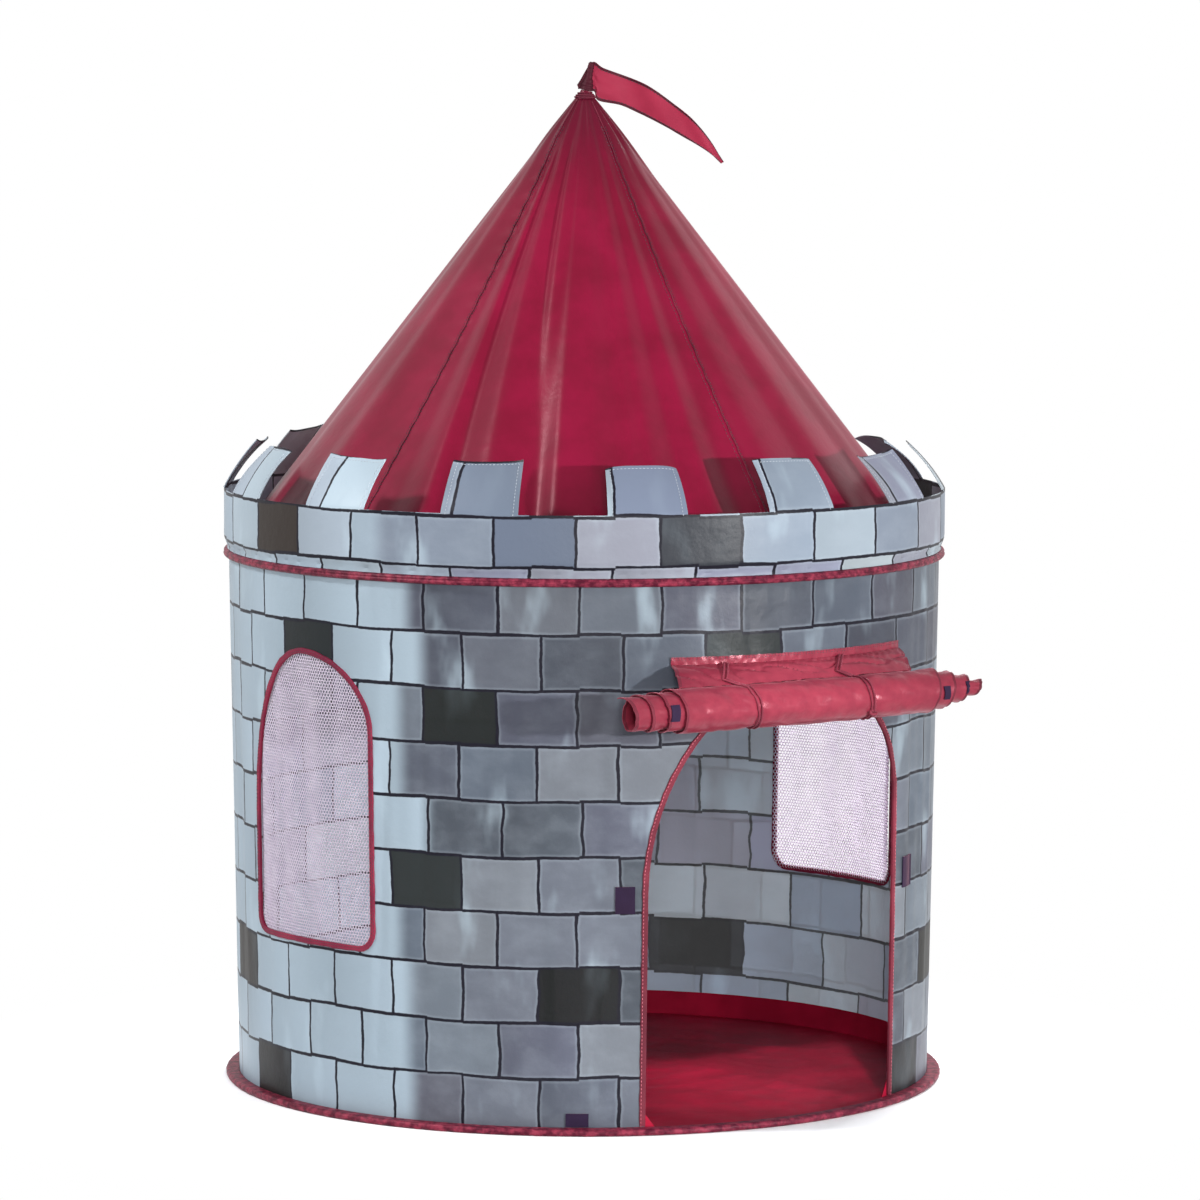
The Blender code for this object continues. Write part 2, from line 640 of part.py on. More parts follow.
def apex_hub(bores):
    """The turned block under the roof's point that takes the four roof poles and the flag's pole."""
    inset = (FABRIC + HUB_GAP) / roof_slope(0.0)[1].dot(facing(0.0)[2])
    profile = [(0.0, HUB_TOP), (HUB_NOSE_RADIUS, HUB_TOP), (HUB_NOSE_RADIUS, HUB_SHOULDER),
               (cone_radius(HUB_SHOULDER) - inset, HUB_SHOULDER), (cone_radius(HUB_FOOT) - inset, HUB_FOOT),
               (0.0, HUB_FOOT)]
    hub = turned("apex_hub", profile, "plastic", steps=36)
    for bore in bores:
        combine(hub, bore)
    lean = flag_axis()
    combine(hub, rod_cutter("flag_pole_bore", FLAG_POLE_FOOT - lean * FIT, FLAG_POLE_FOOT + lean * SOCKET_DEPTH * 2,
                            FLAG_POLE_RADIUS + FIT))


def frame():
    bores = [frame_pole(number, azimuth) for number, azimuth in enumerate(POLE_AZIMUTHS, 1)]
    apex_hub(bores)


# Roof and battlements

def roof():
    for number, (start, end) in enumerate(zip(ROOF_SEAMS, ROOF_SEAMS[1:]), 1):
        steps = round((end - start) / COLUMN_STEP)

        def surface(step, share):
            height = mix(ROOF_FOOT, ROOF_TOP, share)
            azimuth = start + COLUMN_STEP * step
            radius = roof_radius(azimuth, share, height)
            inset = {0: 1, steps: -1}.get(step, 0) * math.degrees(SEAM_HALF_GAP / radius)
            return place(azimuth + inset, radius, height)

        cloth(f"roof_panel_{number}", range(steps + 1), ROOF_ROW_SHARES, surface, "red_cloth")
    cord_radius = cone_radius(TIE_RING_HEIGHT) + (TIE_RING_CORD + FIT) / roof_slope(0.0)[1].dot(facing(0.0)[2])
    bpy.ops.mesh.primitive_torus_add(location=(0, 0, TIE_RING_HEIGHT), major_radius=cord_radius,
                                     minor_radius=TIE_RING_CORD, major_segments=FINE_STEPS, minor_segments=6)
    ring = bpy.context.object
    ring.name = "apex_tie"
    for home in list(ring.users_collection):
        home.objects.unlink(ring)
    finish(ring, "maroon_cord")


def band_azimuth(column):
    """Six columns a merlon: three across its gap, then three across it."""
    number, part = divmod(column, 6)
    gap = 1.0 - MERLON_SHARE
    share = part / 3 * gap if part <= 3 else gap + (part - 3) / 3 * MERLON_SHARE
    first = MERLON_CENTRE - MERLON_PITCH * (MERLON_SHARE / 2 + gap)
    return first + MERLON_PITCH * (number + share), number


def battlements():
    """The band in two halves, each with seven merlons that lean in over the roof."""
    rows = ("foot", "flare", "notch", "waist", "tip")
    for name, first in (("battlement_front", -3), ("battlement_rear", 4)):
        columns = range(MERLONS // 2 * 6 + 1)

        def surface(column, row):
            azimuth, number = band_azimuth(column + first * 6)
            inset = {0: 1, len(columns) - 1: -1}.get(column, 0)
            azimuth += inset * math.degrees(SEAM_HALF_GAP / BAND_RADIUS)
            lean = math.radians(MERLON_LEANS[(number - (column % 6 == 0)) % MERLONS])
            height = {"foot": 0.0, "flare": BAND_FLARE}.get(row, BAND_HEIGHT)
            radius = BAND_FOOT_RADIUS if row == "foot" else BAND_RADIUS
            if row == "waist":
                radius -= MERLON_LENGTH * 0.5 * math.sin(lean * 0.6)
                height += MERLON_LENGTH * 0.5 * math.cos(lean * 0.6)
            if row == "tip":
                radius -= MERLON_LENGTH * 0.5 * (math.sin(lean * 0.6) + math.sin(lean * 1.3))
                height += MERLON_LENGTH * 0.5 * (math.cos(lean * 0.6) + math.cos(lean * 1.3))
            return place(azimuth, radius, BAND_FOOT + height)

        cloth(name, columns, rows, surface, "stone_print", keep=lambda i, j: j < 2 or i % 6 >= 3)


# Rolled door

def roll_place(along, angle, radius):
    turn = math.radians(angle)
    out = ROLL_DISTANCE + radius * math.cos(turn)
    return flat_place(ROLL_AZIMUTH, along, out, ROLL_HEIGHT + radius * math.sin(turn))


def roll_scale(share):
    for (low, first), (high, second) in zip(ROLL_SECTIONS, ROLL_SECTIONS[1:]):
        if share <= high:
            return mix(first, second, (share - low) / (high - low))
    return ROLL_SECTIONS[-1][1]


def roll_along(share):
    return ROLL_SHIFT + ROLL_LENGTH * (share - 0.5)


def hem_point(along, height):
    """A point on the flap's upper edge, just outside the wall."""
    out = math.sqrt(HEM_RADIUS ** 2 - along ** 2)
    return Vector((along, out, height))


def flap_point(share, drop):
    """Along, out and height on the flap: drop runs from the hem to the roll."""
    ends = [HEM_RADIUS * math.sin(math.radians(a - ROLL_AZIMUTH)) for a in HEM_AZIMUTHS]
    top = hem_point(mix(*ends, share), HEM_HEIGHT - FIT)
    turn = math.radians(ROLL_END_ANGLE)
    reach = ROLL_RADIUS + FIT * 2
    foot = Vector((mix(*FLAP_FOOT, share), ROLL_DISTANCE + reach * math.cos(turn),
                   ROLL_HEIGHT + reach * math.sin(turn)))
    lift = Vector((0.0, FLAP_SAG / 2, FLAP_SAG)) * math.sin(math.pi * drop)
    return mix(top, foot, drop) + lift


def rolled_door():
    side, _, _ = facing(ROLL_AZIMUTH)
    hinge = pivot("door_roll_hinge", flat_place(ROLL_AZIMUTH, 0.0, HEM_RADIUS, HEM_HEIGHT), -side)
    hem_columns = [mix(*HEM_AZIMUTHS, i / 9) for i in range(10)]
    cloth("door_hem", hem_columns, (HEM_HEIGHT, HEM_HEIGHT + HEM_TAPE_HEIGHT),
          lambda a, z: on_wall(a, z, TAPE_GAP + FABRIC), "maroon_cord")
    cloth("door_flap", [i / FLAP_COLUMNS for i in range(FLAP_COLUMNS + 1)], (1.0, 0.5, 0.0),
          lambda share, drop: flat_place(ROLL_AZIMUTH, *flap_point(share, drop)), "roll_cloth", parent=hinge)
    steps = ROLL_TURNS * ROLL_STEPS
    cloth("door_roll", [i / steps for i in range(steps + 1)], [share for share, _ in ROLL_SECTIONS],
          roll_surface, "roll_cloth", thickness=ROLL_THICKNESS, parent=hinge)
    for number, (along, width, angle, span) in enumerate(ROLL_PATCHES, 1):
        cloth(f"roll_patch_{number}", (along - width / 2, along + width / 2),
              [angle + span * (share - 0.5) for share in (0.0, 0.33, 0.67, 1.0)],
              lambda a, turn: roll_place(a, turn, roll_face(a, turn) + TAPE_GAP + FABRIC), "dark_patch", parent=hinge)
    for number, along in enumerate(TIE_PLACES, 1):
        tube(f"tie_cord_{number}", tie_path(along), TIE_RADIUS, "maroon_cord", sides=1, parent=hinge)
    toggle(hinge)


def winding_radius(unwound):
    """The spiral's radius at a share of its length, counted from the flap to the core."""
    return mix(ROLL_RADIUS, ROLL_CORE_RADIUS, unwound ** ROLL_TIGHTNESS)


def roll_surface(wound, length_share):
    """The wound cloth: from the flap it goes down behind, then under and up the front, and inward."""
    angle = ROLL_END_ANGLE + 360.0 * ROLL_TURNS * (1.0 - wound)
    return roll_place(roll_along(length_share), angle, winding_radius(1.0 - wound) * roll_scale(length_share))


def roll_face(along, angle):
    """The radius of the roll's outer turn here."""
    unwound = ((angle - ROLL_END_ANGLE) % 360.0) / (360.0 * ROLL_TURNS)
    return winding_radius(unwound) * roll_scale((along - ROLL_SHIFT) / ROLL_LENGTH + 0.5)


def flap_place(along, drop):
    """The point of the flap at this place along it and this share of its drop."""
    ends = [HEM_RADIUS * math.sin(math.radians(a - ROLL_AZIMUTH)) for a in HEM_AZIMUTHS]
    first, last = (mix(end, foot, drop) for end, foot in zip(ends, FLAP_FOOT))
    return flap_point((along - first) / (last - first), drop)


def tie_strand(first):
    """One strand of a tie: from the hem, over the roll and up behind it, slanting along as it goes."""
    lift = TIE_RADIUS + TAPE_GAP * 1.4
    angles = range(90, -200, -20)
    strand = []
    for drop in (0.15, 0.6):
        along = first + TIE_SLANT * len(strand) / len(angles)
        strand.append(flap_place(along, drop) + Vector((0.0, lift * 0.6, lift * 0.8)))
    for angle in angles:
        along = first + TIE_SLANT * len(strand) / len(angles)
        turn = math.radians(angle)
        reach = roll_face(along, angle) + TIE_RADIUS + TAPE_GAP
        strand.append(Vector((along, ROLL_DISTANCE + reach * math.cos(turn), ROLL_HEIGHT + reach * math.sin(turn))))
    return strand


def tie_path(along):
    """A doubled cord: down one strand and back beside it."""
    path = tie_strand(along) + tie_strand(along + TIE_SPACING)[::-1]
    return [flat_place(ROLL_AZIMUTH, *point) for point in path]


def toggle(hinge):
    """The knot that sits on the second tie, over the gap between its two strands."""
    along = TIE_PLACES[-1] + (TIE_SLANT + TIE_SPACING) / 2
    rise = math.sqrt((TOGGLE_RADIUS + TIE_RADIUS + FIT) ** 2 - (TIE_SPACING / 2) ** 2)
    reach = roll_face(along, TOGGLE_ANGLE) + TIE_RADIUS + TAPE_GAP + rise
    bm = bmesh.new()
    bmesh.ops.create_uvsphere(bm, u_segments=12, v_segments=8, radius=TOGGLE_RADIUS)
    bm.transform(Matrix.Translation(roll_place(along, TOGGLE_ANGLE, reach)))
    mesh_object("tie_toggle", bm, "maroon_cord", parent=hinge)


# Flag

def flag_axis():
    lean = math.radians(FLAG_LEAN)
    return Vector((math.sin(lean), 0.0, math.cos(lean)))


def flag_point(height):
    """The point of the flag pole's axis at this height."""
    axis = flag_axis()
    return FLAG_POLE_FOOT + axis * ((height - FLAG_POLE_FOOT.z) / axis.z)


def flag():
    tip = flag_point(FLAG_TOP_HEIGHT)
    tube("flag_pole", [FLAG_POLE_FOOT, tip], FLAG_POLE_RADIUS, "pole")
    swivel = pivot("flag_swivel", flag_point(FLAG_SLEEVE_FOOT), flag_axis())
    outer = FLAG_POLE_RADIUS + FIT + FLAG_SLEEVE_WALL
    start, end = flag_point(FLAG_SLEEVE_FOOT), tip + flag_axis() * (FIT + FLAG_CAP)
    sleeve_body = rod_cutter("flag_sleeve_core", start, end, outer)
    bore = rod_cutter("flag_sleeve_bore", start - flag_axis() * FLAG_CAP, tip + flag_axis() * FIT,
                      FLAG_POLE_RADIUS + FIT)

    def surface(number, edge):
        top, bottom = FLAG_EDGES[number]
        x, rise = mix(Vector(bottom), Vector(top), edge)
        wave = FLAG_WAVE * math.sin(2 * math.pi * x / FLAG_EDGES[-1][0][0]) * (number > 2)
        return Vector((x, wave - FABRIC / 2, APEX_HEIGHT + rise))

    pennant = cloth("flag", range(len(FLAG_EDGES)), (0.0, 0.5, 1.0), surface, "red_cloth", parent=swivel)
    combine(pennant, sleeve_body, "UNION")
    combine(pennant, bore)


def build():
    floor_panel()
    hoops()
    walls()
    openings_trim()
    frame()
    roof()
    battlements()
    rolled_door()
    flag()
    bpy.context.view_layer.update()


build()
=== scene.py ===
# %% [markdown]
# # A kids' castle play tent
#
# The tent is built piece by piece: printed wall, roof, band with merlons, hoops and floor, the bindings and
# nets of its openings, rolled door, pennant, and last the stitching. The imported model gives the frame: rods,
# elbows, feet and wires stay as they are and only get better materials. Every cloth piece is made again
# here, fine enough to carry its folds and hems.
#
# Azimuths are in degrees from -Y towards +X, so that 0 faces the camera. Lengths are in metres.

# %% Frame and camera
import random
from math import asin, cos, degrees, exp, hypot, pi, radians, sin, sqrt, tan

import bmesh
import bpy
import numpy as np
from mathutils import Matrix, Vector
from mathutils import noise as cloud_noise


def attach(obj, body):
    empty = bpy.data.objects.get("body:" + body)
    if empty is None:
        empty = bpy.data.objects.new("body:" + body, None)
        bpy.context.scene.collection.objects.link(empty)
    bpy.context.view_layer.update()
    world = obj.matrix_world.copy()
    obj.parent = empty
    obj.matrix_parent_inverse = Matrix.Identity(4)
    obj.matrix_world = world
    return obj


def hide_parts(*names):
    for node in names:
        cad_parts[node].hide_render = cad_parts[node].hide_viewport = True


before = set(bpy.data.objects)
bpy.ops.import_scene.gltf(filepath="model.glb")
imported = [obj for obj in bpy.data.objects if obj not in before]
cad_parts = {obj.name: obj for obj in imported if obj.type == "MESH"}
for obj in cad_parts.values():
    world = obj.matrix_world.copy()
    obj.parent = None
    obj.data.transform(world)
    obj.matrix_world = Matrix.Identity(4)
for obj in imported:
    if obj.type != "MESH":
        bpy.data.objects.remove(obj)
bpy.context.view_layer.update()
RNG = random.Random(7)

CAMERA_PLACE = (0.0205, -8.0, 1.4449)
CAMERA_TILT = 0.0977
CAMERA_ROLL = -0.0021
CAMERA_LENS = 173.6

camera_data = bpy.data.cameras.new("studio_camera")
camera_data.lens = CAMERA_LENS
camera_data.sensor_width = 36.0
camera = bpy.data.objects.new("studio_camera", camera_data)
camera.location = CAMERA_PLACE
camera.rotation_euler = (pi / 2 - CAMERA_TILT, CAMERA_ROLL, 0.0)
bpy.context.scene.collection.objects.link(camera)
bpy.context.scene.camera = camera
bpy.context.scene.view_settings.view_transform = "Standard"

# %% [markdown]
# ## Sizes
#
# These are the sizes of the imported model. Each piece below is placed by them, so that it lies on the same
# hoops, rods and hems as in the model.

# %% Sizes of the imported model
WALL_TOP_RADIUS = 0.492
WALL_BASE_RADIUS = 0.480
HOOP_HEIGHT = 0.731
HOOP_CENTRE_RADIUS = 0.4945
TOP_TUBE_RADIUS = 0.0055
TOP_LIP_RADIUS = 0.4905
BASE_CENTRE_RADIUS = 0.4943
BASE_TUBE_RADIUS = 0.0047
APEX_HEIGHT = 1.372
FABRIC = 0.0012
TAPE_GAP = 0.0008
WALL_FOOT = 0.0004
WALL_TOP = 0.7252
FOLD_FOOT = 0.040
FOLDS = ((-75.0, 3.0, 0.002), (-26.0, 2.5, 0.003), (66.5, 2.5, 0.003), (101.0, 3.0, 0.002),
         (160.0, 3.0, 0.003), (204.0, 3.0, 0.003), (238.0, 3.0, 0.002))
POLE_AZIMUTHS = (-5.0, 85.0, 175.0, 265.0)
DOOR_AZIMUTH = 34.75
DOOR_ARCH = (0.202, -0.010, 0.320, 0.420, 0.598, 0.0)
WINDOW_AZIMUTHS = {"left": -50.0, "rear": 130.0}
WINDOW_ARCH = (0.122, 0.234, 0.400, 0.520, 0.620, 0.022)


def mix(first, second, share):
    return first + (second - first) * share


def place(azimuth, radius, height):
    """The point at this azimuth, distance from the tent's axis and height."""
    turn = radians(azimuth)
    return Vector((radius * sin(turn), -radius * cos(turn), height))


def clamped(value):
    return min(1.0, max(0.0, value))


def between(value, low, high):
    """0 below low, 1 above high, and a smooth step from one to the other."""
    share = clamped((value - low) / (high - low))
    return share * share * (3.0 - 2.0 * share)


def apart(first, second):
    """The angle between two azimuths, from 0 to 180 degrees."""
    return abs((first - second + 180.0) % 360.0 - 180.0)


def crease(x, y, z, sharpness):
    """Thin creases from 0 to 1, where a smooth noise passes through zero."""
    return max(0.0, 1.0 - abs(cloud_noise.noise(Vector((x, y, z)))) * sharpness) ** 2


# %% [markdown]
# ## Materials
#
# Each material is a procedural node tree. `add` places one node, sets its values and links its inputs, and
# every tree below is written with it. The colours are the cloth's own, as sRGB hex.

# %% Node helpers
WHITE = (1.0, 1.0, 1.0, 1.0)


def linear(hex_colour):
    """The linear red, green, blue and alpha of an sRGB hex colour."""
    channels = [int(hex_colour[i : i + 2], 16) / 255 for i in (1, 3, 5)]
    return [c / 12.92 if c <= 0.04045 else ((c + 0.055) / 1.055) ** 2.4 for c in channels] + [1.0]


def add(tree, kind, links=None, **settings):
    """One node of a tree. links gives inputs by name or number: an output to link, or a value to set."""
    node = tree.nodes.new(kind)
    for name, value in settings.items():
        setattr(node, name, value)
    for name, value in (links or {}).items():
        socket = node.inputs[name]
        if isinstance(value, bpy.types.NodeSocket):
            tree.links.new(value, socket)
        else:
            socket.default_value = value
    return node


def maths(tree, operation, *values):
    """The result of one math node."""
    return add(tree, "ShaderNodeMath", dict(enumerate(values)), operation=operation).outputs[0]


def plus(tree, first, second):
    return maths(tree, "ADD", first, second)


def minus(tree, first, second):
    return maths(tree, "SUBTRACT", first, second)


def times(tree, first, second):
    return maths(tree, "MULTIPLY", first, second)


def centred(tree, value, span):
    """A value from 0 to 1, moved and stretched to lie round 0 over this span."""
    return times(tree, minus(tree, value, 0.5), span)


def combined(tree, *parts):
    """A vector from two or three values or outputs."""
    return add(tree, "ShaderNodeCombineXYZ", dict(enumerate(parts))).outputs[0]


def object_place(tree):
    """The place on the object, in its own axes."""
    return add(tree, "ShaderNodeTexCoord").outputs["Object"]


def blend_colour(tree, share, first, second, kind="MIX"):
    """A mix of two colours. share is a value or an output."""
    node = add(tree, "ShaderNodeMix", {0: share, 6: first, 7: second}, data_type="RGBA", blend_type=kind)
    return node.outputs[2]


def smooth_step(tree, value, low, high):
    """0 below low and 1 above high, smooth between, as an output. It falls where low is above high."""
    node = add(tree, "ShaderNodeMapRange", {0: value, 1: low, 2: high}, interpolation_type="SMOOTHSTEP")
    return node.outputs[0]


def falling(tree, value, low, high):
    """1 below low and 0 above high, smooth between."""
    return minus(tree, 1.0, smooth_step(tree, value, low, high))


def noise(tree, vector, scale, detail=2.0, roughness=0.5):
    """Smooth noise from 0 to 1 over a vector."""
    links = {"Vector": vector, "Scale": scale, "Detail": detail, "Roughness": roughness}
    return add(tree, "ShaderNodeTexNoise", links).outputs[0]


def dice(tree, number):
    """A random value from 0 to 1 for each whole number."""
    return add(tree, "ShaderNodeTexWhiteNoise", {"W": number}, noise_dimensions="1D").outputs["Value"]


def bump(tree, height, distance, strength=1.0, normal=None):
    """A normal from a height, whose full range is distance in metres."""
    links = {"Height": height, "Distance": distance, "Strength": strength}
    if normal is not None:
        links["Normal"] = normal
    return add(tree, "ShaderNodeBump", links).outputs[0]


# %% Material helpers
def new_material(name):
    """A material with its tree, and its principled shader and output."""
    look = bpy.data.materials.new(name)
    look.use_nodes = True
    tree = look.node_tree
    return look, tree, tree.nodes["Principled BSDF"], tree.nodes["Material Output"]


def set_shader(tree, shader, colour, normal, values):
    """Links the shader's colour and normal, and sets its other inputs by name."""
    tree.links.new(colour, shader.inputs["Base Color"])
    if normal is not None:
        tree.links.new(normal, shader.inputs["Normal"])
    for name, value in values.items():
        shader.inputs[name].default_value = value


def mix_shaders(tree, share, shader, other, output):
    """Sends the two shaders, mixed by share, to the material's output."""
    both = add(tree, "ShaderNodeMixShader", {0: share, 1: shader.outputs[0], 2: other.outputs[0]})
    tree.links.new(both.outputs[0], output.inputs["Surface"])


def see_through(tree, shader, output, colour, normal, share):
    """Lets a share of the light through the cloth, in this colour."""
    links = {"Color": colour}
    if normal is not None:
        links["Normal"] = normal
    mix_shaders(tree, share, shader, add(tree, "ShaderNodeBsdfTranslucent", links), output)


# %% [markdown]
# ### The stone print
#
# The wall cloth is white polyester printed with stone blocks. The blocks run in courses, shifted by half a
# block from one course to the next, and are parted by hand-drawn dark lines. The print's coordinates are a
# UV map: one unit across is one block, one unit up is one course. So a block is a cell of that map, and its
# two whole numbers pick its tone. A few blocks are much darker; they are picked by their numbers.

# %% Stone print
WALL_TONES = ("#5F646E", "#464C54", "#656A73", "#515661", "#6D7279", "#54555F", "#58616C", "#434750", "#666E77",
              "#545764")
# The band is printed with the wall's stones; its tones are lighter, as painted light for the light that falls on
# it from above.
BAND_LIT_TONES = ("#818B97", "#8B949B", "#717A87", "#929BA0", "#7F818C", "#7A8592", "#89949D", "#777A8B")
# The inside's tones are its own print's, brightened as painted light for the light that comes in through the cloth
# and the door.
INSIDE_TONES = ("#BAC9DA", "#C9D6E0", "#A4B0C3", "#D3E0E8", "#B8BACA", "#B0C0D3", "#C6D6E3", "#ACB0C9")
# What is laid over the tones, and how strongly: a cloudy haze, painted shade on the lowest courses, the
# paler left side, the rim beside a drawn line, painted satin highlights and the line itself.
HAZE, HAZE_SHARE = "#A3ACB5", 0.14
FOOT_SHADE, FOOT_COURSES = "#33343E", (4.5, 0.5)
SIDE_TINT, SIDE_EDGE, SIDE_JAG = "#A4B5C0", (-2.35, -2.05), 0.45
RIM_TINT, RIM_SHARE = "#A9B4BE", 0.14
PAINTED_HIGHLIGHT_TINT, PAINTED_HIGHLIGHT_SHARE, LAST_PAINTED_HIGHLIGHT_SHARE = "#B4C6D0", 0.40, 0.06
LINE_INK = "#0C0A18"
# How far the courses and the joints between blocks stray, in blocks: from one to the next, and in waves.
COURSE_STEP, COURSE_WAVE = 0.055, 0.10
JOINT_STEP, JOINT_WAVE = 0.08, 0.09
# The drawn line's half width, in metres: at least, how much more, and how far its edge is ragged.
LINE_WIDTH, LINE_SWELL, LINE_RAGGED = 0.0009, 0.0022, 0.0016
print("tones", len(WALL_TONES), len(BAND_LIT_TONES), len(INSIDE_TONES))


# %% Blocks and drawn lines
def stone_cell(tree, print_map):
    """The block's number across and up, and the place in the block, as outputs."""
    axes = add(tree, "ShaderNodeSeparateXYZ", {0: print_map})
    across, up = axes.outputs[0], axes.outputs[1]
    step = dice(tree, maths(tree, "FLOOR", times(tree, across, 2.0)))
    wave = noise(tree, print_map, 0.9, 1.0)
    up = plus(tree, up, plus(tree, centred(tree, step, COURSE_STEP), centred(tree, wave, COURSE_WAVE)))
    course = maths(tree, "FLOOR", up)
    odd = maths(tree, "FLOORED_MODULO", course, 2.0)
    wander = noise(tree, print_map, 1.7, 2.0)
    stray = plus(tree, centred(tree, dice(tree, course), JOINT_STEP), centred(tree, wander, JOINT_WAVE))
    across = plus(tree, across, plus(tree, times(tree, odd, 0.5), stray))
    return maths(tree, "FLOOR", across), course, maths(tree, "FRACT", across), maths(tree, "FRACT", up)


def mortar_mask(tree, inside_across, inside_up, block_width, course_height, print_map):
    """1 on the drawn line between blocks, 2 to 6 mm wide, and 1 on the pale rim beside it, as two outputs."""
    edge_across = times(tree, maths(tree, "PINGPONG", inside_across, 0.5), block_width)
    edge_up = times(tree, maths(tree, "PINGPONG", inside_up, 0.5), course_height)
    nearest = maths(tree, "MINIMUM", edge_across, edge_up)
    ragged = centred(tree, noise(tree, print_map, 14.0, 3.0), LINE_RAGGED)
    width = plus(tree, LINE_WIDTH, times(tree, noise(tree, print_map, 0.8, 1.0), LINE_SWELL))
    away = minus(tree, plus(tree, nearest, ragged), width)
    return falling(tree, away, -0.0004, 0.0006), falling(tree, away, 0.0010, 0.0045)


def pale_side(tree, print_map, course):
    """1 on the left of the wall, where the photograph shows it paler."""
    across = add(tree, "ShaderNodeSeparateXYZ", {0: print_map}).outputs[0]
    return falling(tree, plus(tree, across, centred(tree, dice(tree, course), SIDE_JAG)), *SIDE_EDGE)


def painted_satin_highlights(tree, print_map):
    """1 where a painted satin highlight lies: soft pale bands that lean over the blocks, as the cloth's folds
    catch the light.
    """
    stretched = add(tree, "ShaderNodeMapping", {0: print_map, 2: (0.0, 0.0, -0.32), 3: (1.15, 0.30, 1.0)})
    return smooth_step(tree, noise(tree, stretched.outputs[0], 1.6, 3.0, 0.45), 0.56, 0.76)


# %% The printed cloth
def block_tones(tree, pick, tones):
    """One of the tones for each block, by its random value."""
    ramp = add(tree, "ShaderNodeValToRGB", {0: pick})
    ramp.color_ramp.interpolation = "CONSTANT"
    points = ramp.color_ramp.elements
    while len(points) < len(tones):
        points.new(0.5)
    for i, tone in enumerate(tones):
        points[i].position = i / len(tones)
        points[i].color = linear(tone)
    return ramp.outputs[0]


def stone_print(name, map_name, tones, block_width, course_height, picked, pale, glow, low_shade=0.0):
    """Printed polyester. picked lists (number, course, hex) of the odd blocks. pale is how far its colour goes
    towards pale blue on its left, glow the share of light that the cloth lets through, and low_shade how far
    its lowest courses are darkened with painted shade."""
    look, tree, shader, output = new_material(name)
    print_map = add(tree, "ShaderNodeUVMap", uv_map=map_name).outputs[0]
    number, course, inside_across, inside_up = stone_cell(tree, print_map)
    block = combined(tree, number, course)
    pick = add(tree, "ShaderNodeTexWhiteNoise", {"Vector": block}, noise_dimensions="2D").outputs["Value"]
    colour = block_tones(tree, pick, tones)
    # Mottling: the printed stone is cloudy over a hand's width.
    cloud = smooth_step(tree, noise(tree, print_map, 2.1, 4.0, 0.6), 0.35, 0.75)
    line, rim = mortar_mask(tree, inside_across, inside_up, block_width, course_height, print_map)
    streaks = painted_satin_highlights(tree, print_map)
    for tint, share, strength, kind in (
            (HAZE, cloud, HAZE_SHARE, "MIX"),
            (FOOT_SHADE, smooth_step(tree, course, *FOOT_COURSES), low_shade, "MIX"),
            (SIDE_TINT, pale_side(tree, print_map, course), pale, "LIGHTEN"),
            (RIM_TINT, rim, RIM_SHARE, "LIGHTEN"),
            (PAINTED_HIGHLIGHT_TINT, streaks, PAINTED_HIGHLIGHT_SHARE, "LIGHTEN")):
        colour = blend_colour(tree, times(tree, share, strength), colour, linear(tint), kind)
    for across, up, tone in picked:
        target = combined(tree, float(across), float(up))
        away = add(tree, "ShaderNodeVectorMath", {0: block, 1: target}, operation="DISTANCE").outputs["Value"]
        colour = blend_colour(tree, maths(tree, "LESS_THAN", away, 0.5), colour, linear(tone))
    # Each block was painted with a soft light from one side.
    side = minus(tree, maths(tree, "FRACT", times(tree, pick, 7.3)), 0.35)
    slope = times(tree, minus(tree, inside_across, 0.5), side)
    shade = plus(tree, 1.0, times(tree, slope, 0.5))
    colour = blend_colour(tree, 1.0, colour, combined(tree, shade, shade, shade), "MULTIPLY")
    # A faint painted satin highlight also lies over the odd blocks.
    colour = blend_colour(tree, times(tree, streaks, LAST_PAINTED_HIGHLIGHT_SHARE), colour, linear(PAINTED_HIGHLIGHT_TINT), "LIGHTEN")
    colour = blend_colour(tree, line, colour, linear(LINE_INK))
    # Weave: plain-woven threads about 0.35 mm apart are far under a pixel, so they are drawn 1.5 mm apart.
    weave_map = add(tree, "ShaderNodeVectorMath", {0: print_map, 1: (70.0, 48.0, 1.0)}, operation="MULTIPLY")
    weave = {"Vector": weave_map.outputs[0], "Scale": 0.32, "Distortion": 0.6}
    warp, weft = [add(tree, "ShaderNodeTexWave", weave, bands_direction=way).outputs["Fac"] for way in "XY"]
    crumple = noise(tree, object_place(tree), 26.0, 4.0, 0.62)
    normal = bump(tree, times(tree, warp, weft), 0.00012, 0.35, bump(tree, crumple, 0.004, 0.28))
    set_shader(tree, shader, colour, normal, {"Roughness": 0.38, "Specular IOR Level": 0.2})
    see_through(tree, shader, output, blend_colour(tree, 0.25, colour, WHITE), normal, glow)
    return look


# %% [markdown]
# ### Plain cloth
#
# Roof, floor, roll and tapes are dyed polyester. It has a soft sheen where a fold turns to the light, and a
# weave that only shows close up. One function makes them all from a colour and a few settings.

# %% Cloth materials
# Painted shade for the roof's gathered point: its colour, how strongly it is laid on, and over what height it
# comes in.
GATHER_SHADE_TONE, GATHER_SHADE_SHARE, GATHER_SHADE_REACH = "#4A0A1E", 0.75, 0.15


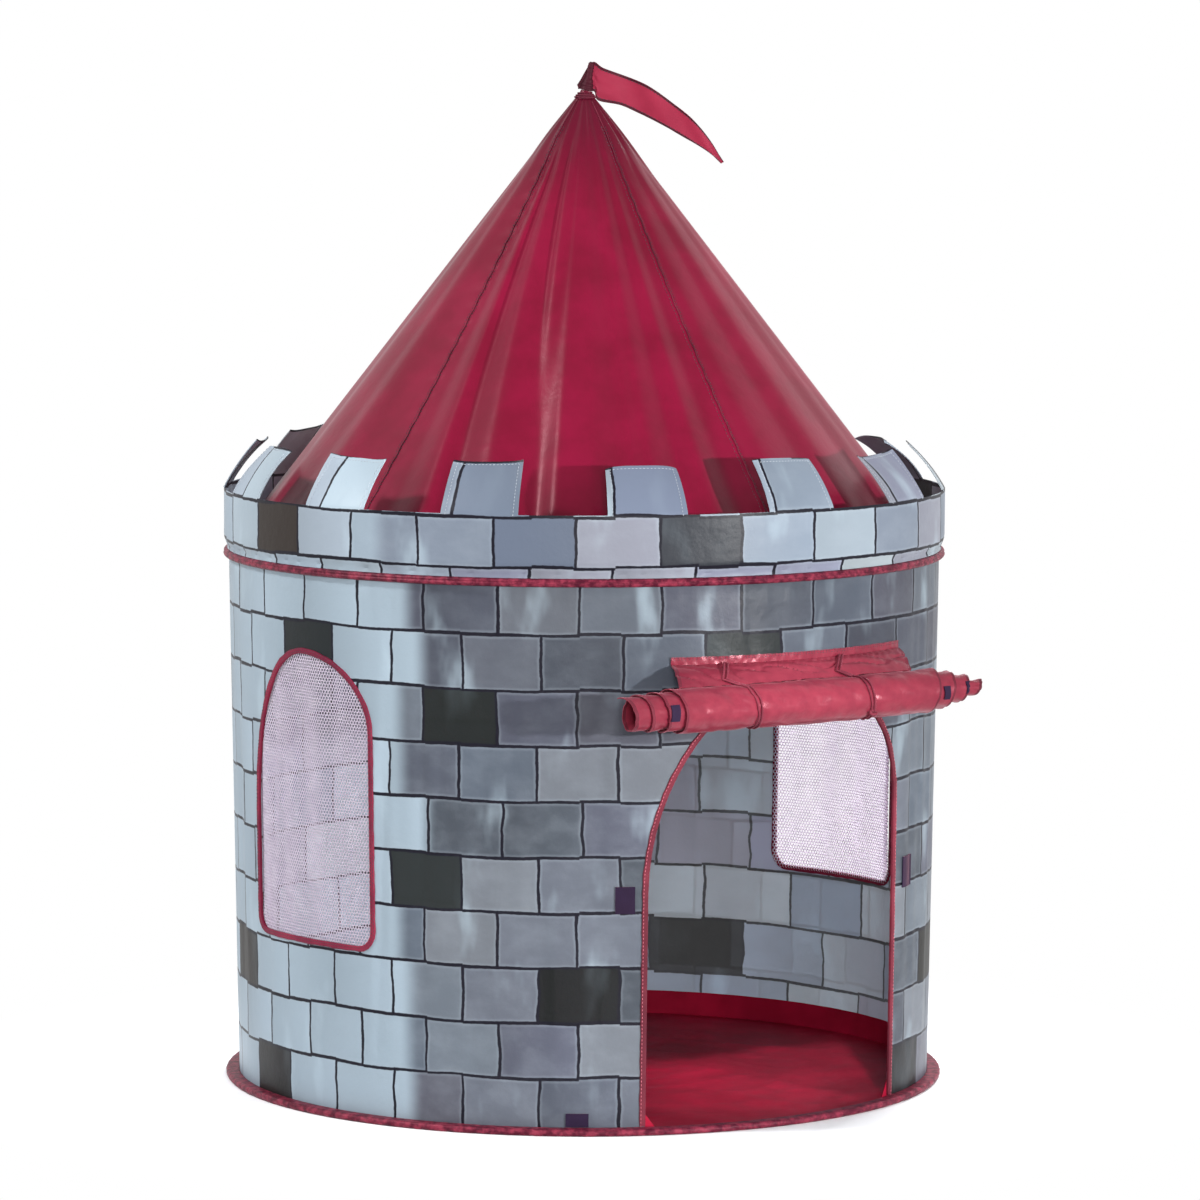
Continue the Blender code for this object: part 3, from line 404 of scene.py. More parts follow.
def dyed_cloth(name, colour, deep, roughness, sheen, grain=0.0001, crumple=0.003, crumple_scale=30.0,
               glow=0.3, painted_shade_from=9.0, mottle=9.0, gloss=0.28):
    """Woven polyester: deep is the second colour of its random mottling. crumple is the depth of its small
    creases. Above a given height the colour is darkened with painted shade, for the roof's gathered point."""
    look, tree, shader, output = new_material(name)
    here = object_place(tree)
    cloud = smooth_step(tree, noise(tree, here, mottle, 4.0, 0.6), 0.35, 0.7)
    tone = blend_colour(tree, cloud, linear(deep), linear(colour))
    # Painted shade darkens the colour above the height given, near the roof's gathered point.
    height = add(tree, "ShaderNodeSeparateXYZ", {0: here}).outputs[2]
    gather_shade = smooth_step(tree, height, painted_shade_from, painted_shade_from + GATHER_SHADE_REACH)
    tone = blend_colour(tree, times(tree, gather_shade, GATHER_SHADE_SHARE), tone, linear(GATHER_SHADE_TONE))
    # Threads are drawn 1.4 mm apart, four times as coarse as they are, so that a close view shows them.
    threads = noise(tree, here, 700.0, 1.0)
    creases = noise(tree, here, crumple_scale, 5.0, 0.6)
    normal = bump(tree, threads, grain, 0.4, bump(tree, creases, crumple, 0.3))
    set_shader(tree, shader, tone, normal, {
        "Roughness": roughness, "Sheen Weight": sheen, "Sheen Roughness": 0.35, "Sheen Tint": linear("#E6A2AE"),
        "Specular IOR Level": gloss, "Specular Tint": linear("#F0B4BC")})
    see_through(tree, shader, output, tone, normal, glow)
    return look


def moulded(name, colour, roughness, metallic=0.0):
    """Plastic, glass fibre, steel or thread: a hard surface with a faint unevenness."""
    look, tree, shader, _ = new_material(name)
    uneven = noise(tree, object_place(tree), 120.0, 3.0)
    tone = blend_colour(tree, uneven, [c * 0.86 for c in linear(colour)[:3]] + [1.0], linear(colour))
    normal = bump(tree, uneven, 0.0003, 0.2)
    set_shader(tree, shader, tone, normal, {"Roughness": roughness, "Metallic": metallic})
    return look


def net_thread(name):
    """Knitted polyester net: white threads that let some light through."""
    look, tree, shader, output = new_material(name)
    tone = blend_colour(tree, noise(tree, object_place(tree), 60.0, 2.0), linear("#DFD5E4"), linear("#F4EEF6"))
    set_shader(tree, shader, tone, None, {"Roughness": 0.6})
    see_through(tree, shader, output, tone, None, 0.6)
    return look


# %% All the looks
OUTER_PICKS = ((-4, 1, "#1C2122"), (-2, 2, "#1A1E1D"), (-2, 5, "#252A2A"), (0, 7, "#141616"),
               (-5, 9, "#191716"), (-6, 7, "#292724"), (2, 1, "#1F2424"), (1, 4, "#16171B"),
               (5, 9, "#18191B"), (6, 7, "#1D1D19"), (-8, 2, "#0C0D0E"), (10, 3, "#1C2122"),
               (14, 6, "#16171B"), (18, 2, "#252A2A"), (21, 7, "#191716"), (12, 8, "#1F2424"))
INNER_PICKS = ((0, 4, "#26272A"), (-5, 2, "#3B4547"), (6, 3, "#414B4C"))
BAND_PICKS = ((-4, 1, "#2C2521"), (2, 1, "#2C2F35"), (0, 1, "#5B6474"), (9, 1, "#262D2B"),
              (1, 0, "#6D7688"), (-1, 0, "#66707F"), (-3, 0, "#A9B9C3"), (-8, 0, "#17181B"), (7, 0, "#17181B"))
STONE = stone_print("stone_print_outside", "print", WALL_TONES, 0.110, 0.0734, OUTER_PICKS, 0.8, 0.25, 0.45)
STONE_INSIDE = stone_print("stone_print_inside", "inside", INSIDE_TONES, 0.150, 0.0803, INNER_PICKS, 0.0, 0.6)
STONE_BAND = stone_print("stone_print_band", "print", BAND_LIT_TONES, 0.110, 0.0650, BAND_PICKS, 0.5, 0.2)
ROOF_CLOTH = dyed_cloth("roof_polyester_taffeta", "#880E34", "#760B2A", 0.31, 0.08, crumple_scale=18.0,
                        painted_shade_from=1.20, gloss=0.34)
FLOOR_CLOTH = dyed_cloth("floor_polyester", "#B8163A", "#9A0F2E", 0.5, 0.0, crumple=0.006, crumple_scale=16.0)
TRIM_CLOTH = dyed_cloth("binding_polyester", "#96384C", "#4E1226", 0.40, 0.0, mottle=95.0, crumple=0.004,
                        crumple_scale=160.0)
ROLL_CLOTH = dyed_cloth("rolled_door_polyester", "#8E3041", "#82283A", 0.30, 0.25, mottle=60.0, crumple=0.007,
                        crumple_scale=24.0, gloss=0.65)
FLAG_CLOTH = dyed_cloth("pennant_polyester", "#9A2C45", "#8A233B", 0.55, 0.1, crumple=0.001, crumple_scale=40.0)
FLAG_HEM = dyed_cloth("pennant_hem", "#3C0817", "#260510", 0.6, 0.0, crumple_scale=150.0, glow=0.0)
# The gathering cord's own dark red, also laid on the roof's seam edges as painted shadow.
CORD_AND_SEAM_SHADE_LOOK = dyed_cloth("gathering_cord_and_seam_shade", "#6A2434", "#3E101E", 0.6, 0.0, grain=0.0004, glow=0.0)
CORD_LOOK = dyed_cloth("tie_cord_braid", "#6F2836", "#531A27", 0.6, 0.3, grain=0.0004, glow=0.0)
BINDING_CLOTH = dyed_cloth("window_binding_red", "#963048", "#74203A", 0.5, 0.1, crumple=0.002,
                           crumple_scale=200.0)
EDGE_LOOK = dyed_cloth("edge_tape_maroon", "#6B2633", "#4C1723", 0.55, 0.3, crumple_scale=120.0, glow=0.0)
PATCH_LOOK = dyed_cloth("hook_patch_navy", "#1E1932", "#151126", 0.75, 0.2, grain=0.0006, glow=0.0)
NET_LOOK = net_thread("window_net_thread")
THREAD_RED = moulded("sewing_thread_red", "#C76674", 0.6)
THREAD_DARK = moulded("sewing_thread_dark", "#3A2530", 0.6)
THREAD_PALE = moulded("sewing_thread_grey", "#AEB4BC", 0.6)
POLE_LOOK = moulded("glass_fibre_rod", "#D9D6CE", 0.35)
ROD_TAPE = moulded("dark_red_rod_tape", "#4E0F22", 0.5)
STEEL_LOOK = moulded("spring_steel", "#9EA2A6", 0.3, 1.0)
PLASTIC_LOOK = moulded("black_nylon", "#26262A", 0.45)
print("materials", len(bpy.data.materials))

# %% [markdown]
# ## Studio
#
# A pale floor keeps the contact shadow. The background is white only to the camera and to reflections. The
# key light is low and small and stands front right, so the merlons and the roll throw clear shadows. A weak
# lamp in front and a broad one on the left fill them. A high lamp on the left draws the bright bands on the
# roof, and one behind, which reflections don't show, shines through the cloth. A narrow spot over the camera
# reaches through the door and lights the floor inside.

# %% Floor and lights
FLOOR_SPAN = 60.0
# Each lamp's name, azimuth, elevation, distance, size and power in watts.
LIGHTS = (("low_right", 46.0, 11.0, 6.0, 0.16, 380.0), ("front", 4.0, 18.0, 4.6, 0.6, 84.0),
          ("left", -66.0, 24.0, 4.8, 1.2, 34.0), ("high_left", -72.0, 48.0, 4.2, 0.4, 105.0),
          ("rear", 160.0, 30.0, 4.5, 2.0, 420.0))
AIM = Vector((0.0, 0.0, 0.75))
# The spot's azimuth, elevation, distance and power, seen from the place on the floor that it lights.
DOOR_SPOT = (8.0, 44.0, 4.0, 470.0)
DOOR_AIM = Vector((0.24, 0.02, 0.0))
DOOR_SPOT_WIDTH = 7.0
AMBIENT = (0.34, 0.36, 0.40, 1.0)


# %% Paper, lamps and backdrop
def studio_floor():
    mesh = bpy.data.meshes.new("studio_floor")
    half = FLOOR_SPAN / 2
    mesh.from_pydata([(-half, -half, 0), (half, -half, 0), (half, half, 0), (-half, half, 0)], [], [(0, 1, 2, 3)])
    floor = bpy.data.objects.new("studio_floor", mesh)
    look, tree, shader, output = new_material("studio_paper")
    position = object_place(tree)
    tone = blend_colour(tree, noise(tree, position, 3.0), linear("#F6F6F7"), linear("#FBFBFB"))
    set_shader(tree, shader, tone, None, {"Roughness": 0.9})
    # Away from the tent the paper is white by itself, glowing as a lit backdrop would.
    away = add(tree, "ShaderNodeVectorMath", {0: position}, operation="LENGTH").outputs["Value"]
    lit = add(tree, "ShaderNodeEmission", {"Color": WHITE, "Strength": 1.0})
    mix_shaders(tree, smooth_step(tree, away, 0.55, 0.95), shader, lit, output)
    mesh.materials.append(look)
    bpy.context.scene.collection.objects.link(floor)


def lamp(name, kind, start, aim, azimuth, elevation, distance, power, **settings):
    """A lamp at this azimuth, elevation and distance from start, turned towards aim."""
    data = bpy.data.lights.new(name, kind)
    data.energy = power
    for setting, value in settings.items():
        setattr(data, setting, value)
    light = bpy.data.objects.new(name, data)
    rise = radians(elevation)
    light.location = start + place(azimuth, distance * cos(rise), distance * sin(rise))
    light.rotation_euler = (aim - light.location).to_track_quat("-Z", "Y").to_euler()
    light.visible_glossy = name != "rear"
    bpy.context.scene.collection.objects.link(light)


def white_background():
    """White where the camera or a reflection looks past the tent, softer as light."""
    world = bpy.data.worlds.new("studio")
    world.use_nodes = True
    bpy.context.scene.world = world
    tree = world.node_tree
    path = add(tree, "ShaderNodeLightPath")
    seen = maths(tree, "MAXIMUM", path.outputs["Is Camera Ray"],
                 maths(tree, "MAXIMUM", path.outputs["Is Glossy Ray"], path.outputs["Is Transmission Ray"]))
    tree.links.new(blend_colour(tree, seen, AMBIENT, WHITE), tree.nodes["Background"].inputs["Color"])


studio_floor()
white_background()
for lamp_name, azimuth, elevation, distance, size, power in LIGHTS:
    lamp(lamp_name, "AREA", Vector(), AIM, azimuth, elevation, distance, power, size=size)
lamp("door_spot", "SPOT", DOOR_AIM, DOOR_AIM, *DOOR_SPOT, spot_size=radians(DOOR_SPOT_WIDTH),
     spot_blend=0.6, shadow_soft_size=0.08)
print("lights", [light[0] for light in LIGHTS] + ["door_spot"])

# %% [markdown]
# ## How cloth is made here
#
# Most pieces are sheets one thickness deep over a fine grid: a function gives the outer face, and the inner
# face lies behind it along the grid's own normals. A door or window is cut out with a prism, as on the
# cutting table. Round bindings are closed rings with a drawn section.

# %% Pieces and sheets
def new_piece(name, points, faces, looks, picks=None, sharp=40.0, smooth=True):
    """A mesh object with its materials. picks gives each face's number in looks, and sharp the angle in
    degrees from which an edge stays sharp."""
    mesh = bpy.data.meshes.new(name)
    mesh.from_pydata([tuple(point) for point in points], [], faces)
    for look in looks:
        mesh.materials.append(look)
    if picks is not None:
        mesh.polygons.foreach_set("material_index", picks)
    mesh.polygons.foreach_set("use_smooth", [smooth] * len(mesh.polygons))
    mesh.set_sharp_from_angle(angle=radians(sharp))
    obj = bpy.data.objects.new(name, mesh)
    bpy.context.scene.collection.objects.link(obj)
    return obj


def grid_sheet(name, columns, rows, surface, looks, thickness=FABRIC, keep=None, closed=False, maps=None,
               trim=None):
    """Cloth over a grid. surface(column, row) is its outer face, seen with columns running to the right and
    rows running up. looks are the materials outside and inside, and of the cells that trim(i, j) names.
    maps gives UV maps as name: function."""
    columns, rows = list(columns), list(rows)
    count_c, count_r = len(columns), len(rows)
    outer = np.array([[surface(c, r) for r in rows] for c in columns])
    padded = np.concatenate([outer[-1:], outer, outer[:1]]) if closed else outer
    across = np.gradient(padded, axis=0)
    across = across[1:-1] if closed else across
    normal = np.cross(across, np.gradient(outer, axis=1))
    normal /= np.maximum(np.linalg.norm(normal, axis=2, keepdims=True), 1e-12)
    points = np.concatenate([outer.reshape(-1, 3), (outer - normal * thickness).reshape(-1, 3)])
    cells = {(i, j) for i in range(count_c - 1 + closed) for j in range(count_r - 1)
             if keep is None or keep(i, j)}
    corners, picks = [], []
    for i, j in sorted(cells):
        around = [(i, j), (i + 1, j), (i + 1, j + 1), (i, j + 1)]
        corners.append([(*corner, 0) for corner in around])
        corners.append([(*corner, 1) for corner in reversed(around)])
        picks += [2, 2] if trim and trim(i, j) else [0, 1]
        width = count_c if closed else count_c + 1
        beside = [(i, j - 1), ((i + 1) % width, j), (i, j + 1), ((i - 1) % width, j)]
        for k, other in enumerate(beside):
            if other not in cells:
                start, end = around[k], around[(k + 1) % 4]
                corners.append([(*end, 0), (*start, 0), (*start, 1), (*end, 1)])
                picks.append(0)
    faces = [[side * count_c * count_r + (i % count_c) * count_r + j for i, j, side in face] for face in corners]
    used = sorted({k for face in faces for k in face})
    renumber = dict(zip(used, range(len(used))))
    obj = new_piece(name, points[used], [[renumber[k] for k in face] for face in faces], looks, picks)
    for map_name, place_of in (maps or {}).items():
        table = {(i, j): place_of(columns[i], rows[j]) for i in range(count_c) for j in range(count_r)}
        layer = obj.data.uv_layers.new(name=map_name)
        flat = [value for face in corners for i, j, _ in face for value in table[(i % count_c, j)]]
        layer.data.foreach_set("uv", flat)
    return obj


# %% Rings and cords
def belongs(piece, body, node):
    """The piece moves with this body and stands for this node of the model, which is hidden."""
    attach(piece, body)
    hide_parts(node)


def skin(count, size, closed):
    """Faces over count sections of size points each: closed to a ring, or with a cap at both ends."""
    faces = []
    for k in range(count if closed else count - 1):
        after = (k + 1) % count
        for m in range(size):
            following = (m + 1) % size
            faces.append([k * size + m, k * size + following, after * size + following, after * size + m])
    if not closed:
        faces += [list(range(size))[::-1], [(count - 1) * size + m for m in range(size)]]
    return faces


def ring(name, section, steps, look):
    """A closed ring: section(azimuth) lists (radius, height), running down its outer side."""
    sections = [[place(360.0 * i / steps, *point) for point in section(360.0 * i / steps)] for i in range(steps)]
    points = [point for one in sections for point in one]
    return new_piece(name, points, skin(steps, len(sections[0]), True), [look], sharp=60.0)


def cord_piece(name, path, radius, look, sides=8):
    """A round cord along a path, with closed ends. radius is a number, or a function of the share along."""
    path = [Vector(point) for point in path]
    points = []
    normal = (path[1] - path[0]).orthogonal().normalized()
    for k, here in enumerate(path):
        along = (path[min(k + 1, len(path) - 1)] - path[max(k - 1, 0)]).normalized()
        normal = (normal - along * normal.dot(along)).normalized()
        side = along.cross(normal)
        size = radius(k / (len(path) - 1)) if callable(radius) else radius
        for m in range(sides):
            turn = 2 * pi * m / sides
            points.append(here + (normal * cos(turn) + side * sin(turn)) * size)
    return new_piece(name, points, skin(len(path), sides, False), [look], sharp=60.0)


# %% Cutting
def prism(name, outline, azimuth, near, far):
    """A cutter: a flat outline, (along, height), drawn out from near to far at this azimuth."""
    turn = radians(azimuth)
    side, out = Vector((cos(turn), sin(turn), 0)), Vector((sin(turn), -cos(turn), 0))
    points = [side * a + out * reach + Vector((0, 0, z)) for reach in (near, far) for a, z in outline]
    count = len(outline)
    faces = [[k, (k + 1) % count, (k + 1) % count + count, k + count] for k in range(count)]
    faces += [list(range(count))[::-1], [count + k for k in range(count)]]
    return new_piece(name, points, faces, [], smooth=False)


def evaluated(obj):
    """The object's mesh with its modifiers, as the object's own mesh without them."""
    graph = bpy.context.evaluated_depsgraph_get()
    mesh = bpy.data.meshes.new_from_object(obj.evaluated_get(graph), depsgraph=graph)
    obj.modifiers.clear()
    obj.data = mesh
    return obj


def cut(obj, cutter):
    """Takes the cutter's shape out of the piece, keeping its maps, and removes the cutter."""
    modifier = obj.modifiers.new("cut", "BOOLEAN")
    modifier.operation = "DIFFERENCE"
    modifier.solver = "EXACT"
    modifier.object = cutter
    evaluated(obj)
    bpy.data.objects.remove(cutter, do_unlink=True)
    obj.data.set_sharp_from_angle(angle=radians(40.0))


print("builders ready")

# %% [markdown]
# ## The wall
#
# Four printed quarters hang from the upper hoop and are drawn down to the lower one. The cloth is nearly
# taut: a few long vertical folds beside the rods and windows, shallow creases between them, and small
# puckers where it is gathered into the piping. Sewn together, the quarters are one sheet under tension, so its
# shape is worked out here instead of simulated: the folds that the photograph shows can then be put where
# they are.

# %% Wall shape
WALL_PANELS = (("wall_left", -95.0), ("wall_door", -5.0), ("wall_rear", 85.0), ("wall_plain", 175.0))
WALL_STEP = 0.6
WALL_ROWS = 116
CREASE_COUNT = 46
PUCKER_DEPTH = 0.0008
# How far from the tent's axis the openings' cutters reach.
CUT_FROM, CUT_TO = 0.30, 0.55
FRONT_CREASES = [(-44.0, 2.2, 0.0016, 4.0), (-33.0, 1.5, 0.0012, 6.0), (-21.0, 1.6, 0.0018, -14.0),
                 (-16.0, 2.0, 0.0014, 3.0), (-9.5, 1.6, -0.0012, 0.0), (2.5, 1.4, 0.0014, 2.0),
                 (70.0, 1.6, 0.0014, -3.0), (76.0, 1.4, -0.0014, 2.0), (-84.0, 1.6, 0.0018, 3.0)]
CREASES = FRONT_CREASES + [
    (RNG.uniform(-95.0, 265.0), RNG.uniform(0.9, 3.0), RNG.uniform(-0.0011, 0.0012), RNG.uniform(-9.0, 9.0))
    for _ in range(CREASE_COUNT)]
print("wall folds", len(FOLDS), "creases", len(CREASES))


def wall_radius(azimuth, height):
    """The wall's outer face: the taut cone, less its folds, creases and puckers."""
    share = (height - FOLD_FOOT) / (WALL_TOP - FOLD_FOOT)
    radius = mix(WALL_BASE_RADIUS, WALL_TOP_RADIUS, height / WALL_TOP)
    if 0.0 < share < 1.0:
        swell = sin(pi * share)
        for centre, width, depth in FOLDS:
            away = apart(azimuth, centre) / width
            radius -= depth * swell * max(0.0, 1.0 - away) ** 1.5
        for centre, width, depth, tilt in CREASES:
            away = apart(azimuth - tilt * (height - 0.36), centre) / width
            if away < 2.5:
                radius -= depth * swell ** 0.6 * exp(-away * away * 2.0)
    gather = exp(-(WALL_TOP - height) / 0.016) * (1.0 - between(height, WALL_TOP - 0.004, WALL_TOP))
    radius -= PUCKER_DEPTH * gather * (1.0 + sin(radians(azimuth * 131.0)) * sin(azimuth * 0.7))
    return radius


def on_wall(azimuth, height, lift=0.0):
    return place(azimuth, wall_radius(azimuth, height) + lift, height)


# %% The print's coordinates
BLOCK_AZIMUTH = 12.857
COURSE_LINE = 0.663
COURSE_HEIGHT = 0.07344
INSIDE_LINE = 0.386
INSIDE_COURSE = 0.0803
INSIDE_AZIMUTH = 17.3
INSIDE_JOINT = 150.3


def printed_azimuth(azimuth):
    """Where an azimuth falls on the flat print: the front was pulled a little to the right when sewn."""
    signed = (azimuth + 180.0) % 360.0 - 180.0
    if abs(signed) > 95.0:
        return azimuth
    return signed - 5.0 * (1.0 - cos(radians(signed))) + 0.02 * signed


def outside_map(azimuth, height):
    return (printed_azimuth(azimuth) + 0.5) / BLOCK_AZIMUTH, 1.0 + (COURSE_LINE - height) / COURSE_HEIGHT


def inside_map(azimuth, height):
    return (azimuth - INSIDE_JOINT) / INSIDE_AZIMUTH, 1.0 + (INSIDE_LINE - height) / INSIDE_COURSE


# %% Outlines of the openings
ARCH_STEPS = 16
CORNER_STEPS = 5


def arc(centre, radii, start, end, steps):
    """Points of an ellipse between two angles, both ends included."""
    angles = [radians(mix(start, end, i / steps)) for i in range(steps + 1)]
    return [(centre[0] + radii[0] * cos(a), centre[1] + radii[1] * sin(a)) for a in angles]


def arch(half_width, foot, left_shoulder, right_shoulder, top, corner):
    """An arched opening seen from outside, from its lower left corner round by the right."""
    if corner:
        points = arc((corner - half_width, foot + corner), (corner, corner), 180, 270, CORNER_STEPS)
        points += arc((half_width - corner, foot + corner), (corner, corner), 270, 360, CORNER_STEPS)
    else:
        points = [(-half_width, foot), (half_width, foot)]
    points += arc((0, right_shoulder), (half_width, top - right_shoulder), 0, 90, ARCH_STEPS)
    return points + arc((0, left_shoulder), (half_width, top - left_shoulder), 90, 180, ARCH_STEPS)[1:]


def denser(outline, step, closed=True):
    """The same outline with a point at least every step."""
    points = []
    ends = outline[1:] + outline[:1] if closed else outline[1:]
    for (x, z), (x2, z2) in zip(outline, ends):
        count = max(1, round(hypot(x2 - x, z2 - z) / step))
        points += [(mix(x, x2, k / count), mix(z, z2, k / count)) for k in range(count)]
    return points if closed else points + [outline[-1]]


# %% Wall panels
def wall_panel(name, start):
    columns = [start + WALL_STEP * i for i in range(round(90.0 / WALL_STEP) + 1)]
    rows = [mix(WALL_FOOT, WALL_TOP, j / WALL_ROWS) for j in range(WALL_ROWS + 1)]
    return grid_sheet(name, columns, rows, on_wall, [STONE, STONE_INSIDE],
                      maps={"print": outside_map, "inside": inside_map})


OPENINGS = {"wall_door": (DOOR_ARCH, DOOR_AZIMUTH)}
for side, azimuth in WINDOW_AZIMUTHS.items():
    OPENINGS[f"wall_{side}"] = (WINDOW_ARCH, azimuth)
for panel_name, panel_start in WALL_PANELS:
    panel = wall_panel(f"{panel_name}_cloth", panel_start)
    if panel_name in OPENINGS:
        opening, azimuth = OPENINGS[panel_name]
        cut(panel, prism("cutter", arch(*opening), azimuth, CUT_FROM, CUT_TO))
    belongs(panel, "root", panel_name)
    print(panel.name, len(panel.data.polygons), "faces")

# %% [markdown]
# ## The roof
#
# Four gores meet in felled seams and are gathered under a cord at the point. The rods lift the cloth along
# straight ridges; between them it sags, and soft folds run down from the gathers. Those folds give the
# roof its bright and dark bands. A cloth simulation would put them where it likes, so they are given here as
# facets, each with its own place and depth, and rounded where they meet.

# %% Roof shape
ROOF_FOOT = 0.73764
ROOF_TOP = 1.3658
LID_CENTRE = 0.0023
LID_SLOPE = tan(radians(10.0))
NECK_FOOT = 1.357
NECK_RADIUS = 0.0100
LID_FOOT = 1.3656
MOUTH_RADIUS = 0.0082
LID_RADIUS = 0.0046
ROOF_SAG = 0.010
# The last rows, up the neck above the cord and over the lid that closes the point.
POINT_ROWS = (1.3590, 1.3610, 1.3630, 1.3648, LID_FOOT, 1.3657, ROOF_TOP)
ROOF_STEP = 0.9
ROOF_ROWS = 84
SEAM_AZIMUTHS = (-45.0, 35.0, 130.0, 220.0)
ROOF_SEAMS = (*SEAM_AZIMUTHS, 315.0)
# The cloth between the rods runs in flat facets. Each knot is (azimuth, depth share): falling from one knot
# to the next faces right and catches the light, rising faces left and stays dark.
FACET_DEPTH_SHARE = 0.055
GATHER_DEPTH_SHARE = 0.10
SEAM_PULL = 0.0009
SEAM_STEP = 0.0011
FRONT_KNOTS = [(-95.0, 0.0), (-86.0, 0.35), (-78.0, 0.1), (-68.0, 0.25), (-62.0, 0.1), (-46.0, 0.85), (-39.0, 0.9),
               (-29.0, 0.15), (-24.5, 0.85), (-17.0, 0.2), (-8.5, 0.95), (-5.0, 0.0), (1.0, 0.0), (8.0, 0.6),
               (9.5, 0.6), (13.5, 0.1), (20.0, 0.8), (24.0, 0.15), (30.0, 0.75), (37.0, 0.35), (41.0, 0.2),
               (52.0, 0.6), (59.0, 0.3), (70.0, 0.55), (78.0, 0.3), (85.0, 0.0)]


def rear_knots():
    """Facets for the far side, with the cloth lifted to the cone over the two rear rods."""
    knots, azimuth, high = [], 93.0, False
    while azimuth < 262.0:
        near_rod = min(apart(azimuth, 175.0), apart(azimuth, 265.0)) < 4.0
        knots.append((azimuth, 0.0 if near_rod else RNG.uniform(0.05, 0.3) if high else RNG.uniform(0.5, 0.9)))
        high = not high
        azimuth += RNG.uniform(4.0, 9.0)
    return knots


FACETS = FRONT_KNOTS + rear_knots() + [(265.0, 0.0)]
GATHER_KNOTS = [(k * 9.5 + RNG.uniform(-2.5, 2.5), RNG.uniform(0.5, 1.0) * (k % 2)) for k in range(38)]
print("roof facets", len(FACETS), "gathers", len(GATHER_KNOTS))


def knot_depth(knots, azimuth):
    """The depth share between two knots, part straight and part rounded, so that the facets have soft edges."""
    azimuth = (azimuth - knots[0][0]) % 360.0 + knots[0][0]
    for (first, low), (last, high) in zip(knots, knots[1:] + [(knots[0][0] + 360.0, knots[0][1])]):
        if azimuth <= last:
            share = (azimuth - first) / (last - first)
            return mix(low, high, 0.3 * share + 0.7 * share * share * (3.0 - 2.0 * share))
    return knots[-1][1]


def cone_radius(height):
    return WALL_TOP_RADIUS * (APEX_HEIGHT - height) / (APEX_HEIGHT - ROOF_FOOT)


def roof_radius(azimuth, height):
    """The roof's outer face: the cone, its sag between the rods, its facets and the gathers at the point."""
    share = (height - ROOF_FOOT) / (ROOF_TOP - ROOF_FOOT)
    cone = cone_radius(height)
    lull = sin(radians(2.0 * (azimuth - POLE_AZIMUTHS[0]))) ** 2
    radius = cone - ROOF_SAG * lull * sin(pi * min(1.0, share / 0.88))
    # The facets left of the front rod swing over to the rod's side on their way down.
    swing = 11.0 * share * between(azimuth, -50.0, -26.0) * (1.0 - between(azimuth, -14.0, -5.0))
    reach = between(share, 0.0, 0.10) * (1.0 - between(share, 0.84, 0.93))
    radius -= FACET_DEPTH_SHARE * cone * reach * knot_depth(FACETS, azimuth + swing)
    radius += GATHER_DEPTH_SHARE * cone * between(share, 0.80, 0.95) * knot_depth(GATHER_KNOTS, azimuth)
    for seam in SEAM_AZIMUTHS:
        away = apart(azimuth, seam) * radians(radius)
        pull = exp(-(away / 0.012) ** 2)
        radius -= SEAM_PULL * pull * (1.0 + sin(height * 260.0 + seam)) * (1.0 - between(share, 0.8, 1.0))
        radius += SEAM_STEP * (between(azimuth - seam, -0.1, 0.1) - between(azimuth - seam, 0.9, 1.6)) * reach
    neck = mix(NECK_RADIUS, MOUTH_RADIUS, between(height, NECK_FOOT, LID_FOOT))
    return max(radius, mix(neck, LID_RADIUS, between(height, LID_FOOT, ROOF_TOP)))


def on_roof(azimuth, height, lift=0.0):
    """A point on the roof, lifted along its slope's normal."""
    slope = WALL_TOP_RADIUS / (APEX_HEIGHT - ROOF_FOOT)
    tall = hypot(1.0, slope)
    point = place(azimuth, roof_radius(azimuth, height) + lift / tall, height + lift * slope / tall)
    # The point's lid is tilted to face the pennant's leaning sleeve.
    near_lid = between(height, NECK_FOOT, LID_FOOT)
    point.x += LID_CENTRE * near_lid
    point.z -= (point.x - LID_CENTRE) * LID_SLOPE * near_lid
    return point


# %% Roof panels
def roof_panel(number, start, end):
    count = round((end - start) / ROOF_STEP)
    columns = [mix(start, end, i / count) for i in range(count + 1)]
    rows = [mix(ROOF_FOOT, NECK_FOOT, j / ROOF_ROWS) for j in range(ROOF_ROWS + 1)]
    rows += POINT_ROWS
    return grid_sheet(f"roof_panel_{number}_cloth", columns, rows, on_roof, [ROOF_CLOTH, ROOF_CLOTH])


for roof_number, (seam_start, seam_end) in enumerate(zip(ROOF_SEAMS, ROOF_SEAMS[1:]), 1):
    gore = roof_panel(roof_number, seam_start, seam_end)
    belongs(gore, "root", f"roof_panel_{roof_number}")
    print(gore.name, len(gore.data.polygons), "faces")

# %% Seam edges
# The turned edge of each felled seam is a thin cord beside it, coloured dark as painted shadow along the seam.
SEAM_EDGE_RADIUS = 0.0008
SEAM_EDGE_STEPS = 160
for seam_number, seam in enumerate(SEAM_AZIMUTHS, 1):
    heights = [mix(ROOF_FOOT + 0.004, NECK_FOOT - 0.006, k / SEAM_EDGE_STEPS) for k in range(SEAM_EDGE_STEPS + 1)]
    seam_path = [on_roof(seam + 0.25, height, SEAM_EDGE_RADIUS * 0.6) for height in heights]
    shaded_seam_edge = cord_piece(f"roof_seam_{seam_number}_edge", seam_path, SEAM_EDGE_RADIUS, CORD_AND_SEAM_SHADE_LOOK)
    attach(shaded_seam_edge, "root")
print("seam edges", len(SEAM_AZIMUTHS))

# %% [markdown]
# ## The band and its merlons
#
# The band is a tube of printed cloth sewn to the piping. Its cut edge is hemmed, and fourteen merlons lean in
# over the roof, each a little differently. A bend modifier would lean them all alike, so each merlon is walked
# up in short steps, with its own lean and curl. The band is made as two halves, as in the model.

